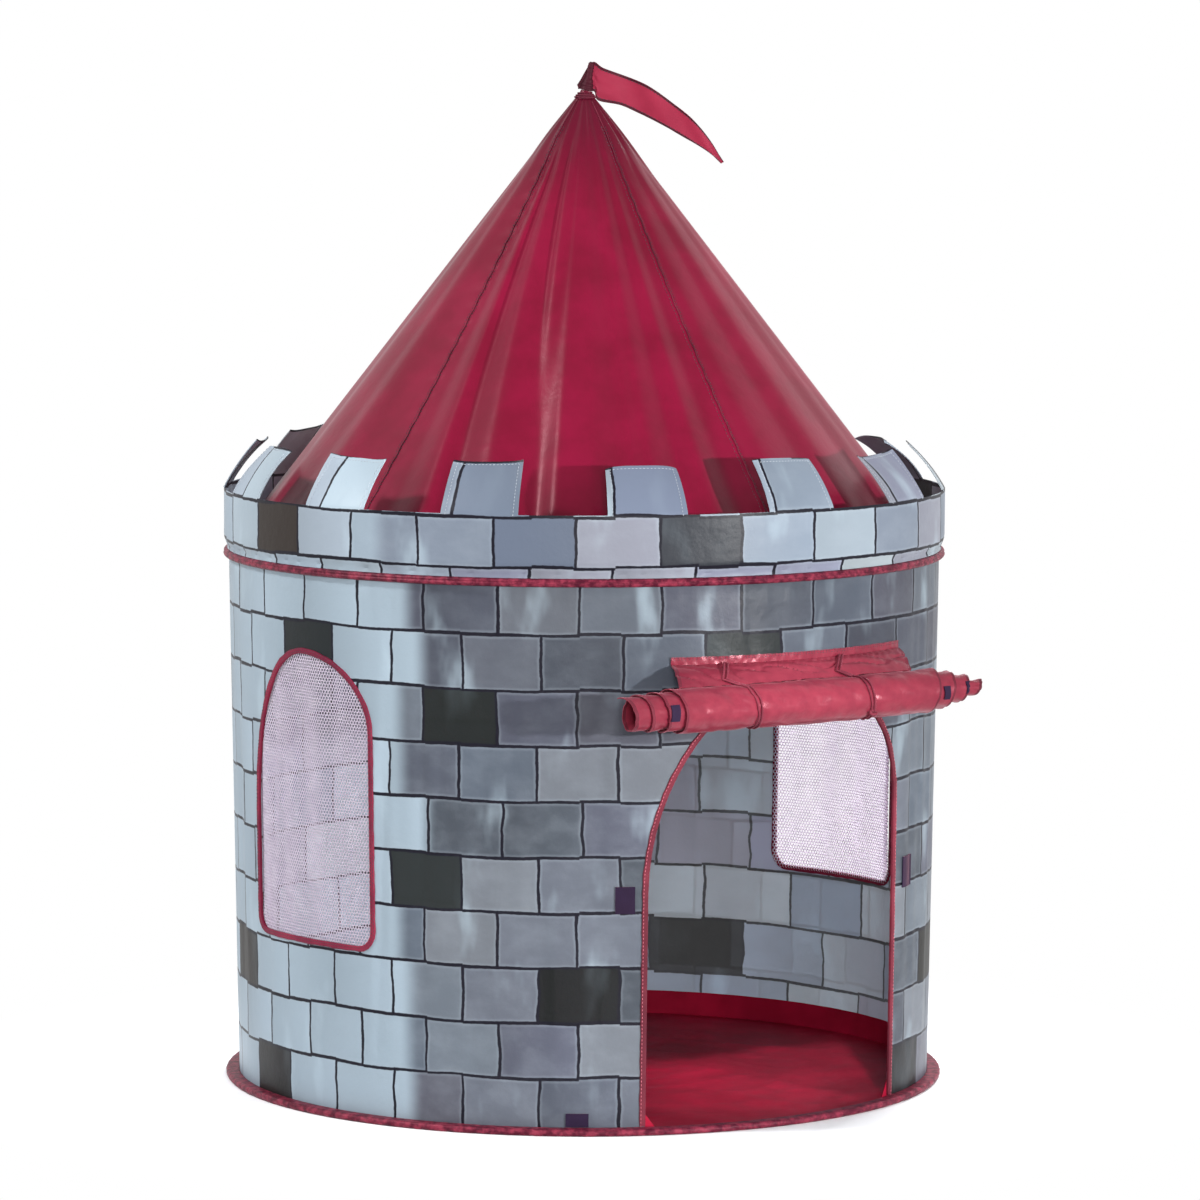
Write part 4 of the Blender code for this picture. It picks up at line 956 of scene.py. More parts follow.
# %% Band shape
MERLONS = 14
MERLON_PITCH = 360.0 / MERLONS
MERLON_CENTRE = 9.8
MERLON_SHARE = 0.475
BAND_FOOT = 0.7368
BAND_FOOT_RADIUS = 0.4944
BAND_RADIUS = 0.4995
BAND_FLARE = 0.018
BAND_HEIGHT = 0.083
MERLON_LENGTH = 0.0815
MERLON_LEANS = (42.0, 36.0, 44.0, 40.0, 45.0, 38.0, 34.0, 40.0, 44.0, 38.0, 42.0, 36.0, 40.0, 37.0)
GAP_COLUMNS = 16
MERLON_COLUMNS = 16
BAND_ROWS = 16
MERLON_ROWS = 14
PER_MERLON = GAP_COLUMNS + MERLON_COLUMNS
HALF_MERLONS = MERLONS // 2
# The number of each half's first merlon.
HALF_STARTS = {"front": -3, "rear": 4}
LEAN_STEPS = 8
HEM_WIDTH = 0.006
HEM_RISE = 0.0006
BAND_RUMPLE = 0.0020
BAND_WAVE = 0.0006


def band_azimuth(column):
    """The azimuth of a column, its merlon's number, and its place across the merlon from 0 to 1."""
    number, part = divmod(column, PER_MERLON)
    gap = 1.0 - MERLON_SHARE
    if part <= GAP_COLUMNS:
        share, across = part / GAP_COLUMNS * gap, 0.0
        if part == 0:
            number, share, across = number - 1, 1.0, 1.0
    else:
        across = (part - GAP_COLUMNS) / MERLON_COLUMNS
        share = gap + across * MERLON_SHARE
    first = MERLON_CENTRE - MERLON_PITCH * (MERLON_SHARE / 2 + gap)
    return first + MERLON_PITCH * (number + share), number, across


def merlon_turn(number, across, along):
    """How far the merlon leans in at this share of its length, in degrees: its corners curl a little more."""
    lean = MERLON_LEANS[number % MERLONS]
    twist = 4.0 * sin(number * 2.3) * (across - 0.5)
    curl = 10.0 * (2.0 * across - 1.0) ** 4 * along * sin(number * 1.7 + 1.0)
    return lean * (0.70 + 0.55 * along) + twist + curl


def band_point(column, row):
    """A point of the band. row runs from 0 at the foot to 1 at the notches and 2 at the merlons' tips."""
    azimuth, number, across = band_azimuth(column)
    height = min(row, 1.0) * BAND_HEIGHT
    flare = between(height, 0.0, BAND_FLARE)
    radius = mix(BAND_FOOT_RADIUS, BAND_RADIUS, flare)
    rumple = (1.0 - flare) * between(height, 0.0, 0.004)
    radius -= BAND_RUMPLE * rumple * (1.0 + sin(azimuth * 1.9) * sin(azimuth * 0.53 + 1.0))
    radius -= BAND_WAVE * flare * (1.0 + sin(radians(azimuth * 11.0)) * sin(row * 2.0))
    if row > 1.0:
        along = row - 1.0
        for step in range(LEAN_STEPS):
            turn = radians(merlon_turn(number, across, along * (step + 0.5) / LEAN_STEPS))
            radius -= MERLON_LENGTH * along / LEAN_STEPS * sin(turn)
            height += MERLON_LENGTH * along / LEAN_STEPS * cos(turn)
        edge = min(across, 1.0 - across) * MERLON_SHARE * radians(MERLON_PITCH) * BAND_RADIUS
        edge = min(edge, (1.0 - along) * MERLON_LENGTH)
        radius += HEM_RISE * (1.0 - between(edge, HEM_WIDTH * 0.7, HEM_WIDTH))
    return place(azimuth, radius, BAND_FOOT + height)


def band_map(column, row):
    azimuth, _, _ = band_azimuth(column)
    along = min(row, 1.0) * BAND_HEIGHT
    up = 2.0 - (along - 0.0147) / 0.066 if row <= 1.0 else 0.965 - (row - 1.0) * 0.95
    return (printed_azimuth(azimuth) + 1.5) / BLOCK_AZIMUTH + 0.5, up


# %% Band halves
band_rows = [j / BAND_ROWS for j in range(BAND_ROWS + 1)]
band_rows += [1.0 + j / MERLON_ROWS for j in range(1, MERLON_ROWS + 1)]
for side, first in HALF_STARTS.items():
    columns = range(first * PER_MERLON, (first + HALF_MERLONS) * PER_MERLON + 1)
    half = grid_sheet(f"battlement_{side}_cloth", columns, band_rows, band_point, [STONE_BAND, STONE_BAND],
                      keep=lambda i, j: j < BAND_ROWS or i % PER_MERLON >= GAP_COLUMNS, maps={"print": band_map})
    belongs(half, "root", f"battlement_{side}")
    print(half.name, len(half.data.polygons), "faces")

# %% [markdown]
# ## Hoops and floor
#
# The two wire hoops run in channels of red binding. The upper one is stitched along its middle, so it shows
# two ridges. The lower one is a bias strip that twists a little as it goes round, which gives it its slanting
# creases. Each is swept round as a drawn section that stays open inside, where its wire lies. The floor is a
# tub: its rim is turned up inside the wall and cut down at the door.

# %% Hoop bindings
RING_STEPS = 720
SECTION_STEPS = 12
CAVITY_RADIUS = 0.0035
FLOOR_RIM_HEIGHT = 0.035
FLOOR_RADIUS = 0.4773
BASE_LIP_RADIUS = 0.4808


def channel(centre, tube_radius, lip_radius, swell):
    """A channel's section, open towards the axis. swell(angle) scales the outer side."""
    radius, height = centre
    outer = []
    for k in range(SECTION_STEPS + 1):
        angle = 90.0 - 180.0 * k / SECTION_STEPS
        reach, turn = tube_radius * swell(angle), radians(angle)
        outer.append((radius + reach * cos(turn), height + reach * sin(turn)))
    inner = arc(centre, (CAVITY_RADIUS, CAVITY_RADIUS), -90, 90, 6)
    return ([(lip_radius, height + tube_radius)] + outer + [(lip_radius, height - tube_radius),
            (lip_radius, height - CAVITY_RADIUS)] + inner + [(lip_radius, height + CAVITY_RADIUS)])


def piping_section(azimuth):
    ripple = 0.02 * sin(azimuth * 3.1) * sin(azimuth * 0.9)
    return channel((HOOP_CENTRE_RADIUS, HOOP_HEIGHT), TOP_TUBE_RADIUS, TOP_LIP_RADIUS,
                   lambda angle: 1.0 + ripple - 0.42 * exp(-((angle - 8.0) / 14.0) ** 2))


def base_section(azimuth):
    def swell(angle):
        slant = azimuth * 2.3 + angle * 0.05
        return 1.0 - 0.10 * (1.0 + sin(slant) * sin(azimuth * 0.7)) * cos(radians(angle))
    return channel((BASE_CENTRE_RADIUS, BASE_TUBE_RADIUS), BASE_TUBE_RADIUS, BASE_LIP_RADIUS, swell)


top_piping = ring("top_piping_cloth", piping_section, RING_STEPS, TRIM_CLOTH)
base_binding = ring("base_binding_cloth", base_section, RING_STEPS, TRIM_CLOTH)
belongs(top_piping, "root", "top_piping")
belongs(base_binding, "root", "base_binding")
print("hoops", top_piping.name, base_binding.name)

# %% Floor
FLOOR_STEPS = 180
FLOOR_ROWS = 70
# The floor's creases: how many a metre, a place in the noise, and their height.
FLOOR_CREASES = ((5.0, 1.0, 0.0026), (11.0, 5.0, 0.0014))


def door_share(azimuth):
    """1 where the door is cut down to the floor, 0 elsewhere."""
    along = sin(radians(azimuth - DOOR_AZIMUTH)) * FLOOR_RADIUS
    return (1.0 - between(abs(along), DOOR_ARCH[0] - 0.006, DOOR_ARCH[0])) * (apart(azimuth, DOOR_AZIMUTH) < 90.0)


def floor_point(azimuth, share):
    """The floor's upper face. share is -1 at the rim's edge, 0 in the corner and 1 at the middle."""
    if share < 0.0:
        rim = mix(FLOOR_RIM_HEIGHT, FABRIC * 3.0, door_share(azimuth))
        height = mix(FABRIC, rim, -share)
        lean = (WALL_TOP_RADIUS - WALL_BASE_RADIUS) * height / WALL_TOP
        wave = 0.0006 * (-share) * (1.0 + sin(azimuth * 0.9))
        return place(azimuth, FLOOR_RADIUS + lean - wave, height)
    radius = FLOOR_RADIUS * (1.0 - share)
    at = place(azimuth, radius, 0.0)
    loose = between(share, 0.0, 0.06)
    at.z = FABRIC + loose * sum(height * crease(at.x * scale, at.y * scale, seed, 5.0)
                                for scale, seed, height in FLOOR_CREASES)
    return at


floor_rows = [-1.0, -0.66, -0.33] + [j / FLOOR_ROWS for j in range(FLOOR_ROWS + 1)]
floor_columns = [360.0 / FLOOR_STEPS * i for i in range(FLOOR_STEPS)]
floor_cloth = grid_sheet("floor_cloth", floor_columns, floor_rows, floor_point, [FLOOR_CLOTH, FLOOR_CLOTH],
                         closed=True)
# The rows meet in one point at the middle, so the points there are joined.
welder = bmesh.new()
welder.from_mesh(floor_cloth.data)
bmesh.ops.remove_doubles(welder, verts=welder.verts, dist=0.00002)
welder.to_mesh(floor_cloth.data)
welder.free()
belongs(floor_cloth, "root", "floor_panel")
print("floor", len(floor_cloth.data.polygons), "faces")

# %% [markdown]
# ## Better materials for the frame
#
# Rods and their sleeves, elbows, cups, hub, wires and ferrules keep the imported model's shape. Only their
# materials change.

# %% Frame materials
NODE_LOOKS = {"wall_pole": POLE_LOOK, "roof_pole": POLE_LOOK, "flag_pole": ROD_TAPE, "elbow": PLASTIC_LOOK,
              "pole_foot": PLASTIC_LOOK, "apex_hub": PLASTIC_LOOK, "pole_sleeve": TRIM_CLOTH,
              "base_wire": STEEL_LOOK, "top_wire": STEEL_LOOK, "base_ferrule": STEEL_LOOK,
              "top_ferrule": STEEL_LOOK}
for node_name, node_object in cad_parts.items():
    for prefix, node_look in NODE_LOOKS.items():
        if node_name.startswith(prefix):
            for material_slot in node_object.material_slots:
                material_slot.material = node_look
print("materials now", len(bpy.data.materials))

# %% [markdown]
# ## Bindings round the openings
#
# Each opening is bound with a folded tape: it lies on the wall's outer face, goes round the cut edge and
# lies on the inner face. It is swept here as one closed section, and it puckers a little as it is eased
# round the curves.

# %% Bindings
TAPE_WIDTH = 0.0068
BINDING_STEP = 0.005
# The tape's section: across, from the opening's edge to the wall, and out from the wall's outer face.
TAPE_SECTION = ((-1.00, 0.0010), (-0.93, 0.0019), (-0.55, 0.0021), (-0.40, 0.0016), (-0.10, 0.0021),
                (0.10, 0.0012), (0.13, -0.0006), (0.08, -0.0022), (-0.30, -0.0027), (-0.90, -0.0025),
                (-1.00, -0.0015), (-1.00, 0.0))


def wall_azimuth(centre, along, height):
    """The azimuth of a point this far along the flat cutting plane."""
    return centre + degrees(asin(along / mix(WALL_BASE_RADIUS, WALL_TOP_RADIUS, height / WALL_TOP)))


def binding(name, outline, azimuth, look, closed=True):
    """A folded tape along an outline whose opening lies to the left."""
    path = denser(outline, BINDING_STEP, closed)
    count = len(path)
    points = []
    for k, here in enumerate(path):
        if closed:
            before, after = path[k - 1], path[(k + 1) % count]
        else:
            before, after = path[max(0, k - 1)], path[min(count - 1, k + 1)]
        left = (Vector(after) - Vector(before)).normalized().orthogonal()
        pucker = 1.0 + 0.07 * sin(k * 0.9) * sin(k * 0.37 + 1.0)
        for across, lift in TAPE_SECTION:
            at = Vector(here) + left * (across * TAPE_WIDTH * pucker)
            points.append(on_wall(wall_azimuth(azimuth, at.x, at.y), at.y, lift * pucker))
    return new_piece(name, points, skin(count, len(TAPE_SECTION), closed), [look], sharp=50.0)


half, _, *door_rest = DOOR_ARCH
door_line = arch(half, 2 * BASE_TUBE_RADIUS + TAPE_GAP, *door_rest)
door_line = door_line[1:] + door_line[:1]
window_line = arch(*WINDOW_ARCH)
bindings = {"door_binding": binding("door_binding_tape", door_line, DOOR_AZIMUTH, EDGE_LOOK, closed=False)}
for side, azimuth in WINDOW_AZIMUTHS.items():
    node = f"window_binding_{side}"
    bindings[node] = binding(f"{node}_tape", window_line, azimuth, BINDING_CLOTH)
for node, piece in bindings.items():
    belongs(piece, "root", node)
    print(piece.name, len(piece.data.polygons), "faces")

# %% [markdown]
# ## Rows that repeat: nets and stitches
#
# The nets and every row of stitches are grown by Geometry Nodes from plain lines. The net's tree gives each
# line of a honeycomb its thread. The stitch's tree walks along a line, sets a small bead of thread every few
# millimetres and turns it to the line. Real stitches are 3 mm apart; they are drawn 5 mm apart and a little
# thick, so that they still show from across the room.

# %% Geometry node trees
def new_tree(name, inputs):
    """An empty geometry tree with a geometry, a material and these inputs, each with its first value."""
    tree = bpy.data.node_groups.new(name, "GeometryNodeTree")
    tree.interface.new_socket("Geometry", in_out="INPUT", socket_type="NodeSocketGeometry")
    tree.interface.new_socket("Material", in_out="INPUT", socket_type="NodeSocketMaterial")
    for label, value in inputs.items():
        tree.interface.new_socket(label, in_out="INPUT", socket_type="NodeSocketFloat").default_value = value
    tree.interface.new_socket("Geometry", in_out="OUTPUT", socket_type="NodeSocketGeometry")
    return tree, tree.nodes.new("NodeGroupInput"), tree.nodes.new("NodeGroupOutput")


def close_tree(tree, start, end, shape):
    """The tree's end: real mesh, with the material that was asked for."""
    real = add(tree, "GeometryNodeRealizeInstances", {0: shape}).outputs[0]
    painted = add(tree, "GeometryNodeSetMaterial", {"Geometry": real, "Material": start.outputs["Material"]})
    tree.links.new(painted.outputs[0], end.inputs[0])
    return tree


def net_tree():
    tree, start, end = new_tree("net_threads", {"Thread": 0.001})
    line = add(tree, "GeometryNodeMeshToCurve", {"Mesh": start.outputs["Geometry"]}).outputs[0]
    thread = add(tree, "GeometryNodeCurvePrimitiveCircle", {"Resolution": 3, "Radius": start.outputs["Thread"]})
    swept = add(tree, "GeometryNodeCurveToMesh", {"Curve": line, "Profile Curve": thread.outputs[0],
                                                  "Fill Caps": False})
    return close_tree(tree, start, end, swept.outputs[0])


def stitch_tree():
    tree, start, end = new_tree("stitch_row", {"Spacing": 0.005, "Length": 0.0034, "Thread": 0.0008})
    line = add(tree, "GeometryNodeMeshToCurve", {"Mesh": start.outputs["Geometry"]}).outputs[0]
    steps = add(tree, "GeometryNodeResampleCurve", {"Curve": line, "Length": start.outputs["Spacing"]},
                mode="LENGTH")
    bead = add(tree, "GeometryNodeMeshIcoSphere", {"Radius": 0.5, "Subdivisions": 1}).outputs[0]
    size = combined(tree, start.outputs["Thread"], start.outputs["Thread"], start.outputs["Length"])
    way = add(tree, "GeometryNodeInputTangent").outputs[0]
    turned = add(tree, "FunctionNodeAlignRotationToVector", {"Vector": way}, axis="Z").outputs[0]
    beads = add(tree, "GeometryNodeInstanceOnPoints", {"Points": steps.outputs[0], "Instance": bead,
                                                       "Rotation": turned, "Scale": size})
    return close_tree(tree, start, end, beads.outputs[0])


def grown(name, lines, tree, look, **values):
    """A mesh piece grown by a tree from lines, each a list of points."""
    mesh = bpy.data.meshes.new(name)
    points = [tuple(point) for line in lines for point in line]
    edges, first = [], 0
    for line in lines:
        edges += [(first + k, first + k + 1) for k in range(len(line) - 1)]
        first += len(line)
    mesh.from_pydata(points, edges, [])
    obj = bpy.data.objects.new(name, mesh)
    bpy.context.scene.collection.objects.link(obj)
    modifier = obj.modifiers.new(name, "NODES")
    modifier.node_group = tree
    names = {item.name: item.identifier for item in tree.interface.items_tree if item.in_out == "INPUT"}
    modifier[names["Material"]] = look
    for label, value in values.items():
        modifier[names[label]] = value
    return evaluated(obj)


NET_TREE = net_tree()
STITCH_TREE = stitch_tree()
print("trees", NET_TREE.name, STITCH_TREE.name)

# %% Nets
NET_PITCH = 0.0048
NET_THREAD = 0.0010
NET_MARGIN = 0.005
NET_SPAN = 28
NET_FOOT, NET_HEIGHT = 0.234, 0.386
NET_GAP = 0.0022
NET_FOLD = 0.0045


def inside_outline(point, outline):
    """True if the point lies in the closed outline."""
    x, z = point
    found = False
    for (x1, z1), (x2, z2) in zip(outline, outline[1:] + outline[:1]):
        if (z1 > z) != (z2 > z) and x < x1 + (z - z1) / (z2 - z1) * (x2 - x1):
            found = not found
    return found


def net_point(azimuth, along, height):
    """The net hangs a little loose behind its opening, in a few long folds."""
    loose = sin(pi * clamped((height - NET_FOOT) / NET_HEIGHT)) ** 0.5
    fold = 0.5 + 0.5 * sin(along * 70.0 + height * 5.0) * sin(along * 23.0 + 1.0)
    return on_wall(wall_azimuth(azimuth, along, height), height, -NET_GAP - NET_FOLD * loose * fold)


def net_lines(azimuth):
    """The sides of a honeycomb's cells inside the window, each as two points."""
    half_width, foot, left, right, top, corner = WINDOW_ARCH
    outline = arch(half_width + NET_MARGIN, foot - NET_MARGIN, left, right, top + NET_MARGIN, corner)
    rise = NET_PITCH * sqrt(3) / 2
    radius = NET_PITCH / sqrt(3)
    lines = []
    for j in range(round((top - foot) / rise) + 4):
        for i in range(-NET_SPAN, NET_SPAN + 1):
            centre = ((i + 0.5 * (j % 2)) * NET_PITCH, foot - 2 * rise + j * rise)
            corners = arc(centre, (radius, radius), 90, -90, 3)
            if all(inside_outline(corner_point, outline) for corner_point in corners):
                lines += [[net_point(azimuth, *a), net_point(azimuth, *b)] for a, b in zip(corners, corners[1:])]
    return lines


for side, azimuth in WINDOW_AZIMUTHS.items():
    net = grown(f"window_mesh_{side}_net", net_lines(azimuth), NET_TREE, NET_LOOK, Thread=NET_THREAD)
    belongs(net, "root", f"window_mesh_{side}")
    print(net.name, len(net.data.polygons), "faces")

# %% [markdown]
# ## The rolled door
#
# The door's cloth is sewn to the wall along its upper hem, falls a hand's width and is then wound into a
# roll. The roll was wound a little askew, so each turn's bound edge stands out beyond the one outside it.
# A simulation would have to wind it up turn by turn. Here it is one sheet drawn as a spiral: every point of it
# has an angle, a radius and a place along the roll.

# %% Roll shape
ROLL_AZIMUTH = 36.0
ROLL_HEIGHT = 0.572
ROLL_DISTANCE = 0.522
ROLL_RADIUS = 0.031
ROLL_CORE_RADIUS = 0.008
ROLL_TURNS = 4
ROLL_THICKNESS = 0.0010
ROLL_END_ANGLE = 110.0
ROLL_SAG = 0.0022
WAIST_DEPTH = 0.0019
ROLL_CREASE = 0.0016
DENT_DEPTH = 0.0030
ROLL_RIPPLE = 0.0007
LEFT_EDGE = (-0.217, -0.0255)
RIGHT_EDGE = (0.170, 0.0285)
TIE_PLACES = (-0.125, 0.0635)
TIE_SLANT = 0.022
TIE_SPACING = 0.006
TIE_RADIUS = 0.0015
HEM_HEIGHT = 0.622
HEM_AZIMUTHS = (13.5, 59.5)
HEM_RADIUS = 0.4917


def flat_place(along, out, height):
    """A point in the roll's own axes: along it, out from the tent's axis, and up."""
    turn = radians(ROLL_AZIMUTH)
    return Vector((along * cos(turn) + out * sin(turn), along * sin(turn) - out * cos(turn),
                   height))


def roll_place(along, reach, angle, sag):
    """A point at this angle and distance from the roll's axis, which sags by this much."""
    turn = radians(angle)
    return flat_place(along, ROLL_DISTANCE + reach * cos(turn), ROLL_HEIGHT + reach * sin(turn) - sag)


def roll_sag(along):
    return ROLL_SAG * sin(pi * clamped((along + 0.30) / 0.56))


def tie_along(first, angle):
    """Where a tie lies along the roll at this angle: it slants as it goes round."""
    return first + TIE_SLANT * (ROLL_END_ANGLE - angle) / 300.0 + TIE_SPACING / 2


def roll_creases(along, angle):
    """Dents and wrinkles of the outer turns: a waist at each tie and slanting creases between."""
    around = (angle + 180.0) % 360.0 - 180.0
    depth = 0.0
    for first in TIE_PLACES:
        away = (along - tie_along(first, around)) / 0.011
        depth += WAIST_DEPTH * exp(-away * away)
        puckers = sin(radians(angle * 9.0)) * exp(-abs(along - tie_along(first, around)) / 0.02)
        depth += 0.0004 * puckers
    depth += ROLL_CREASE * crease(along * 24.0 + around * 0.012, around * 0.016 - along * 6.0, 3.0, 4.0)
    # One deep dent left of the first tie.
    dent = ((along + 0.152) / 0.016) ** 2 + ((around - 25.0 + (along + 0.15) * 900.0) / 26.0) ** 2
    depth += DENT_DEPTH * exp(-dent)
    return depth + ROLL_RIPPLE * cloud_noise.noise(Vector((along * 40.0, around * 0.03, 9.0)))


def roll_radius(turns, along):
    """The winding's radius after this many turns from the flap: it is wound looser at its left end."""
    share = turns / ROLL_TURNS
    tight = mix(ROLL_RADIUS, ROLL_CORE_RADIUS, share ** 1.6)
    loose = ROLL_RADIUS * (1.0 - 0.30 * share)
    return mix(tight, loose, between(-along, 0.17, 0.30))


def roll_ends(turns):
    """The roll's left and right edge after this many turns from the flap, along its axis."""
    return LEFT_EDGE[0] + LEFT_EDGE[1] * turns, RIGHT_EDGE[0] + RIGHT_EDGE[1] * turns


def roll_point(turns, share):
    """turns counts from the flap inward; share runs from the left edge to the right one."""
    along = mix(*roll_ends(turns), share)
    angle = ROLL_END_ANGLE + 360.0 * turns
    bound = 1.0 - between(min(share, 1.0 - share), 0.009, 0.013)
    radius = roll_radius(turns, along) - roll_creases(along, angle) + 0.0006 * bound
    return roll_place(along, radius, angle, roll_sag(along))


def roll_face(along, angle):
    """The radius of the outermost turn that reaches this far along, at this angle."""
    turns = ((angle - ROLL_END_ANGLE) % 360.0) / 360.0
    while turns < ROLL_TURNS - 1 and not roll_ends(turns)[0] <= along <= roll_ends(turns)[1]:
        turns += 1.0
    return roll_radius(turns, along) - roll_creases(along, angle)


# %% Roll and flap
ROLL_STEPS = 44
EDGE_SHARES = (0.0, 0.004, 0.0085)
roll_columns = [i / ROLL_STEPS for i in range(ROLL_TURNS * ROLL_STEPS, -1, -1)]
roll_rows = list(EDGE_SHARES) + [mix(0.016, 0.984, j / 88) for j in range(89)] + [1 - s for s in EDGE_SHARES[::-1]]
edge_cells = (0, 1, len(roll_rows) - 3, len(roll_rows) - 2)
roll = grid_sheet("door_roll_cloth", roll_columns, roll_rows, roll_point, [ROLL_CLOTH, ROLL_CLOTH, EDGE_LOOK],
                  thickness=ROLL_THICKNESS, trim=lambda i, j: j in edge_cells)

# %% Flap and hem
FLAP_SAG = 0.004
FLAP_PUCKER = 0.0011
FLAP_CREASE = 0.0030
HEM_TAPE_HEIGHT = 0.010
HEM_LIFT = FABRIC + TAPE_GAP


def flap_point(share, drop):
    """The cloth between the hem, at drop 0, and the roll, at drop 1. share runs from left to right."""
    ends = [HEM_RADIUS * sin(radians(azimuth - ROLL_AZIMUTH)) for azimuth in HEM_AZIMUTHS]
    along = mix(*ends, share)
    top = flat_place(along, sqrt(HEM_RADIUS ** 2 - along ** 2), HEM_HEIGHT)
    foot = roll_point(0.0, share)
    bulge = sin(pi * drop)
    pucker = FLAP_PUCKER * exp(-drop / 0.22) * min(1.0, drop * 12.0) * sin(share * 190.0 + sin(share * 31.0))
    dip = FLAP_CREASE * bulge * crease(share * 9.0 - drop * 2.0, drop * 2.0, 21.0, 3.5)
    out = FLAP_SAG / 2 * bulge + pucker - dip * 0.6
    lift = flat_place(0.0, out, FLAP_SAG * bulge + pucker - dip)
    return mix(top, foot, drop) + lift


flap_columns = [0.0, 0.006, 0.013] + [mix(0.02, 0.98, i / 96) for i in range(97)] + [0.987, 0.994, 1.0]
flap = grid_sheet("door_flap_cloth", flap_columns, [1.0 - j / 18 for j in range(19)], flap_point,
                  [ROLL_CLOTH, ROLL_CLOTH, EDGE_LOOK], thickness=ROLL_THICKNESS,
                  trim=lambda i, j: i in (0, 1, len(flap_columns) - 3, len(flap_columns) - 2))


def hem_surface(azimuth, share):
    """The stitched hem above the flap, gathered a little by its stitches."""
    height = HEM_HEIGHT + HEM_TAPE_HEIGHT * share
    gather = sin(radians(azimuth * 150.0)) * sin(azimuth * 1.3)
    return on_wall(azimuth, height + 0.0004 * gather * share, HEM_LIFT + 0.0006 * gather * sin(pi * share))


hem_columns = [mix(*HEM_AZIMUTHS, i / 150) for i in range(151)]
hem = grid_sheet("door_hem_tape", hem_columns, [j / 6 for j in range(7)], hem_surface, [ROLL_CLOTH, ROLL_CLOTH])
belongs(hem, "root", "door_hem")
belongs(roll, "door_roll", "door_roll")
belongs(flap, "door_roll", "door_flap")
print("roll", len(roll.data.polygons), "flap", len(flap.data.polygons), "faces")

# %% Ties
TIE_ANGLES = range(100, -200, -8)
# Where a tie touches the flap, from the hem at 0 to the roll at 1.
TIE_DROPS = (0.05, 0.25, 0.45, 0.65, 0.85)
FLAP_LEFT, FLAP_WIDTH = -0.195, 0.391
KNOT_STEPS = 32
KNOT_TURNS = 1.8


def tie_strand(first, side):
    """One strand of a doubled tie: from the hem, down the flap and round the roll to its back."""
    points = []
    along = tie_along(first, ROLL_END_ANGLE) + side * TIE_SPACING / 2
    for drop in TIE_DROPS:
        share = clamped((along - FLAP_LEFT) / FLAP_WIDTH)
        points.append(flap_point(share, drop) + flat_place(0.0, 0.0016, 0.0022))
    for angle in TIE_ANGLES:
        along = tie_along(first, angle) + side * (TIE_SPACING / 2 + 0.0006 * sin(angle * 0.05))
        reach = roll_face(along, angle) + TIE_RADIUS * 0.9
        points.append(roll_place(along, reach, angle, roll_sag(along)))
    return points


def knot_path(first, angle):
    """A knot: a strand wound round both strands, nearly twice."""
    points = []
    for k in range(KNOT_STEPS + 1):
        turn = 2 * pi * KNOT_TURNS * k / KNOT_STEPS
        here = angle + 5.0 * (k / KNOT_STEPS - 0.5) + 2.5 * cos(turn * 0.5)
        along = tie_along(first, here) + 0.0052 * cos(turn)
        reach = roll_face(along, here) + TIE_RADIUS * 2.2 + 0.0026 * sin(turn)
        points.append(roll_place(along, reach, here, 0.0018))
    return points


def tie(number, first):
    """A doubled cord: down one strand, round behind the roll and back up the other."""
    path = tie_strand(first, -1.0) + tie_strand(first, 1.0)[::-1]
    cord = cord_piece(f"tie_cord_{number}_braid", path, TIE_RADIUS, CORD_LOOK, sides=10)
    belongs(cord, "door_roll", f"tie_cord_{number}")
    print(cord.name, round(sum((b - a).length for a, b in zip(path, path[1:])), 3), "m long")


for number, first in enumerate(TIE_PLACES, 1):
    tie(number, first)
knot = cord_piece("tie_toggle_knot", knot_path(TIE_PLACES[1], -40.0), 0.0019, CORD_LOOK)
belongs(knot, "door_roll", "tie_toggle")

# %% Patches
# On the roll: place along it, width, angle and its span. On the wall: azimuth, its span, foot and top.
ROLL_PATCHES = ((-0.250, 0.014, 2.0, 46.0), (0.2035, 0.010, -4.0, 40.0), (0.247, 0.010, 6.0, 50.0))
WALL_PATCHES = ((6.6, 3.1, 0.294, 0.330), (-0.8, 3.6, 0.0102, 0.028), (65.0, 4.0, 0.291, 0.333))


def roll_patch(along, angle):
    """A patch of hook tape, just off the turn that it is sewn on."""
    return roll_place(along, roll_face(along, angle) + TAPE_GAP + FABRIC, angle, 0.001)


def wall_patch(azimuth, height):
    return on_wall(azimuth, height, FABRIC + TAPE_GAP)


def tape_patch(name, number, body, columns, rows, surface):
    patch = grid_sheet(f"{name}_{number}_tape", columns, rows, surface, [PATCH_LOOK, PATCH_LOOK])
    belongs(patch, body, f"{name}_{number}")


for number, (along, width, angle, span) in enumerate(ROLL_PATCHES, 1):
    tape_patch("roll_patch", number, "door_roll", [along + width * (i / 6 - 0.5) for i in range(7)],
               [angle + span * (j / 12 - 0.5) for j in range(13)], roll_patch)
for number, (azimuth, width, low, high) in enumerate(WALL_PATCHES, 1):
    tape_patch("wall_patch", number, "root", [azimuth + width * (i / 8 - 0.5) for i in range(9)],
               [mix(low, high, j / 8) for j in range(9)], wall_patch)
print("patches", len(ROLL_PATCHES) + len(WALL_PATCHES))

# %% [markdown]
# ## Pennant and point
#
# The pennant's sleeve turns on its rod. The cloth is one layer with a narrow turned hem; its sleeve is a
# darker double layer. Its two edges are smooth lines through a few points, and the cloth between them waves.
# Below it the roof's point is drawn together by a cord, wound three times.

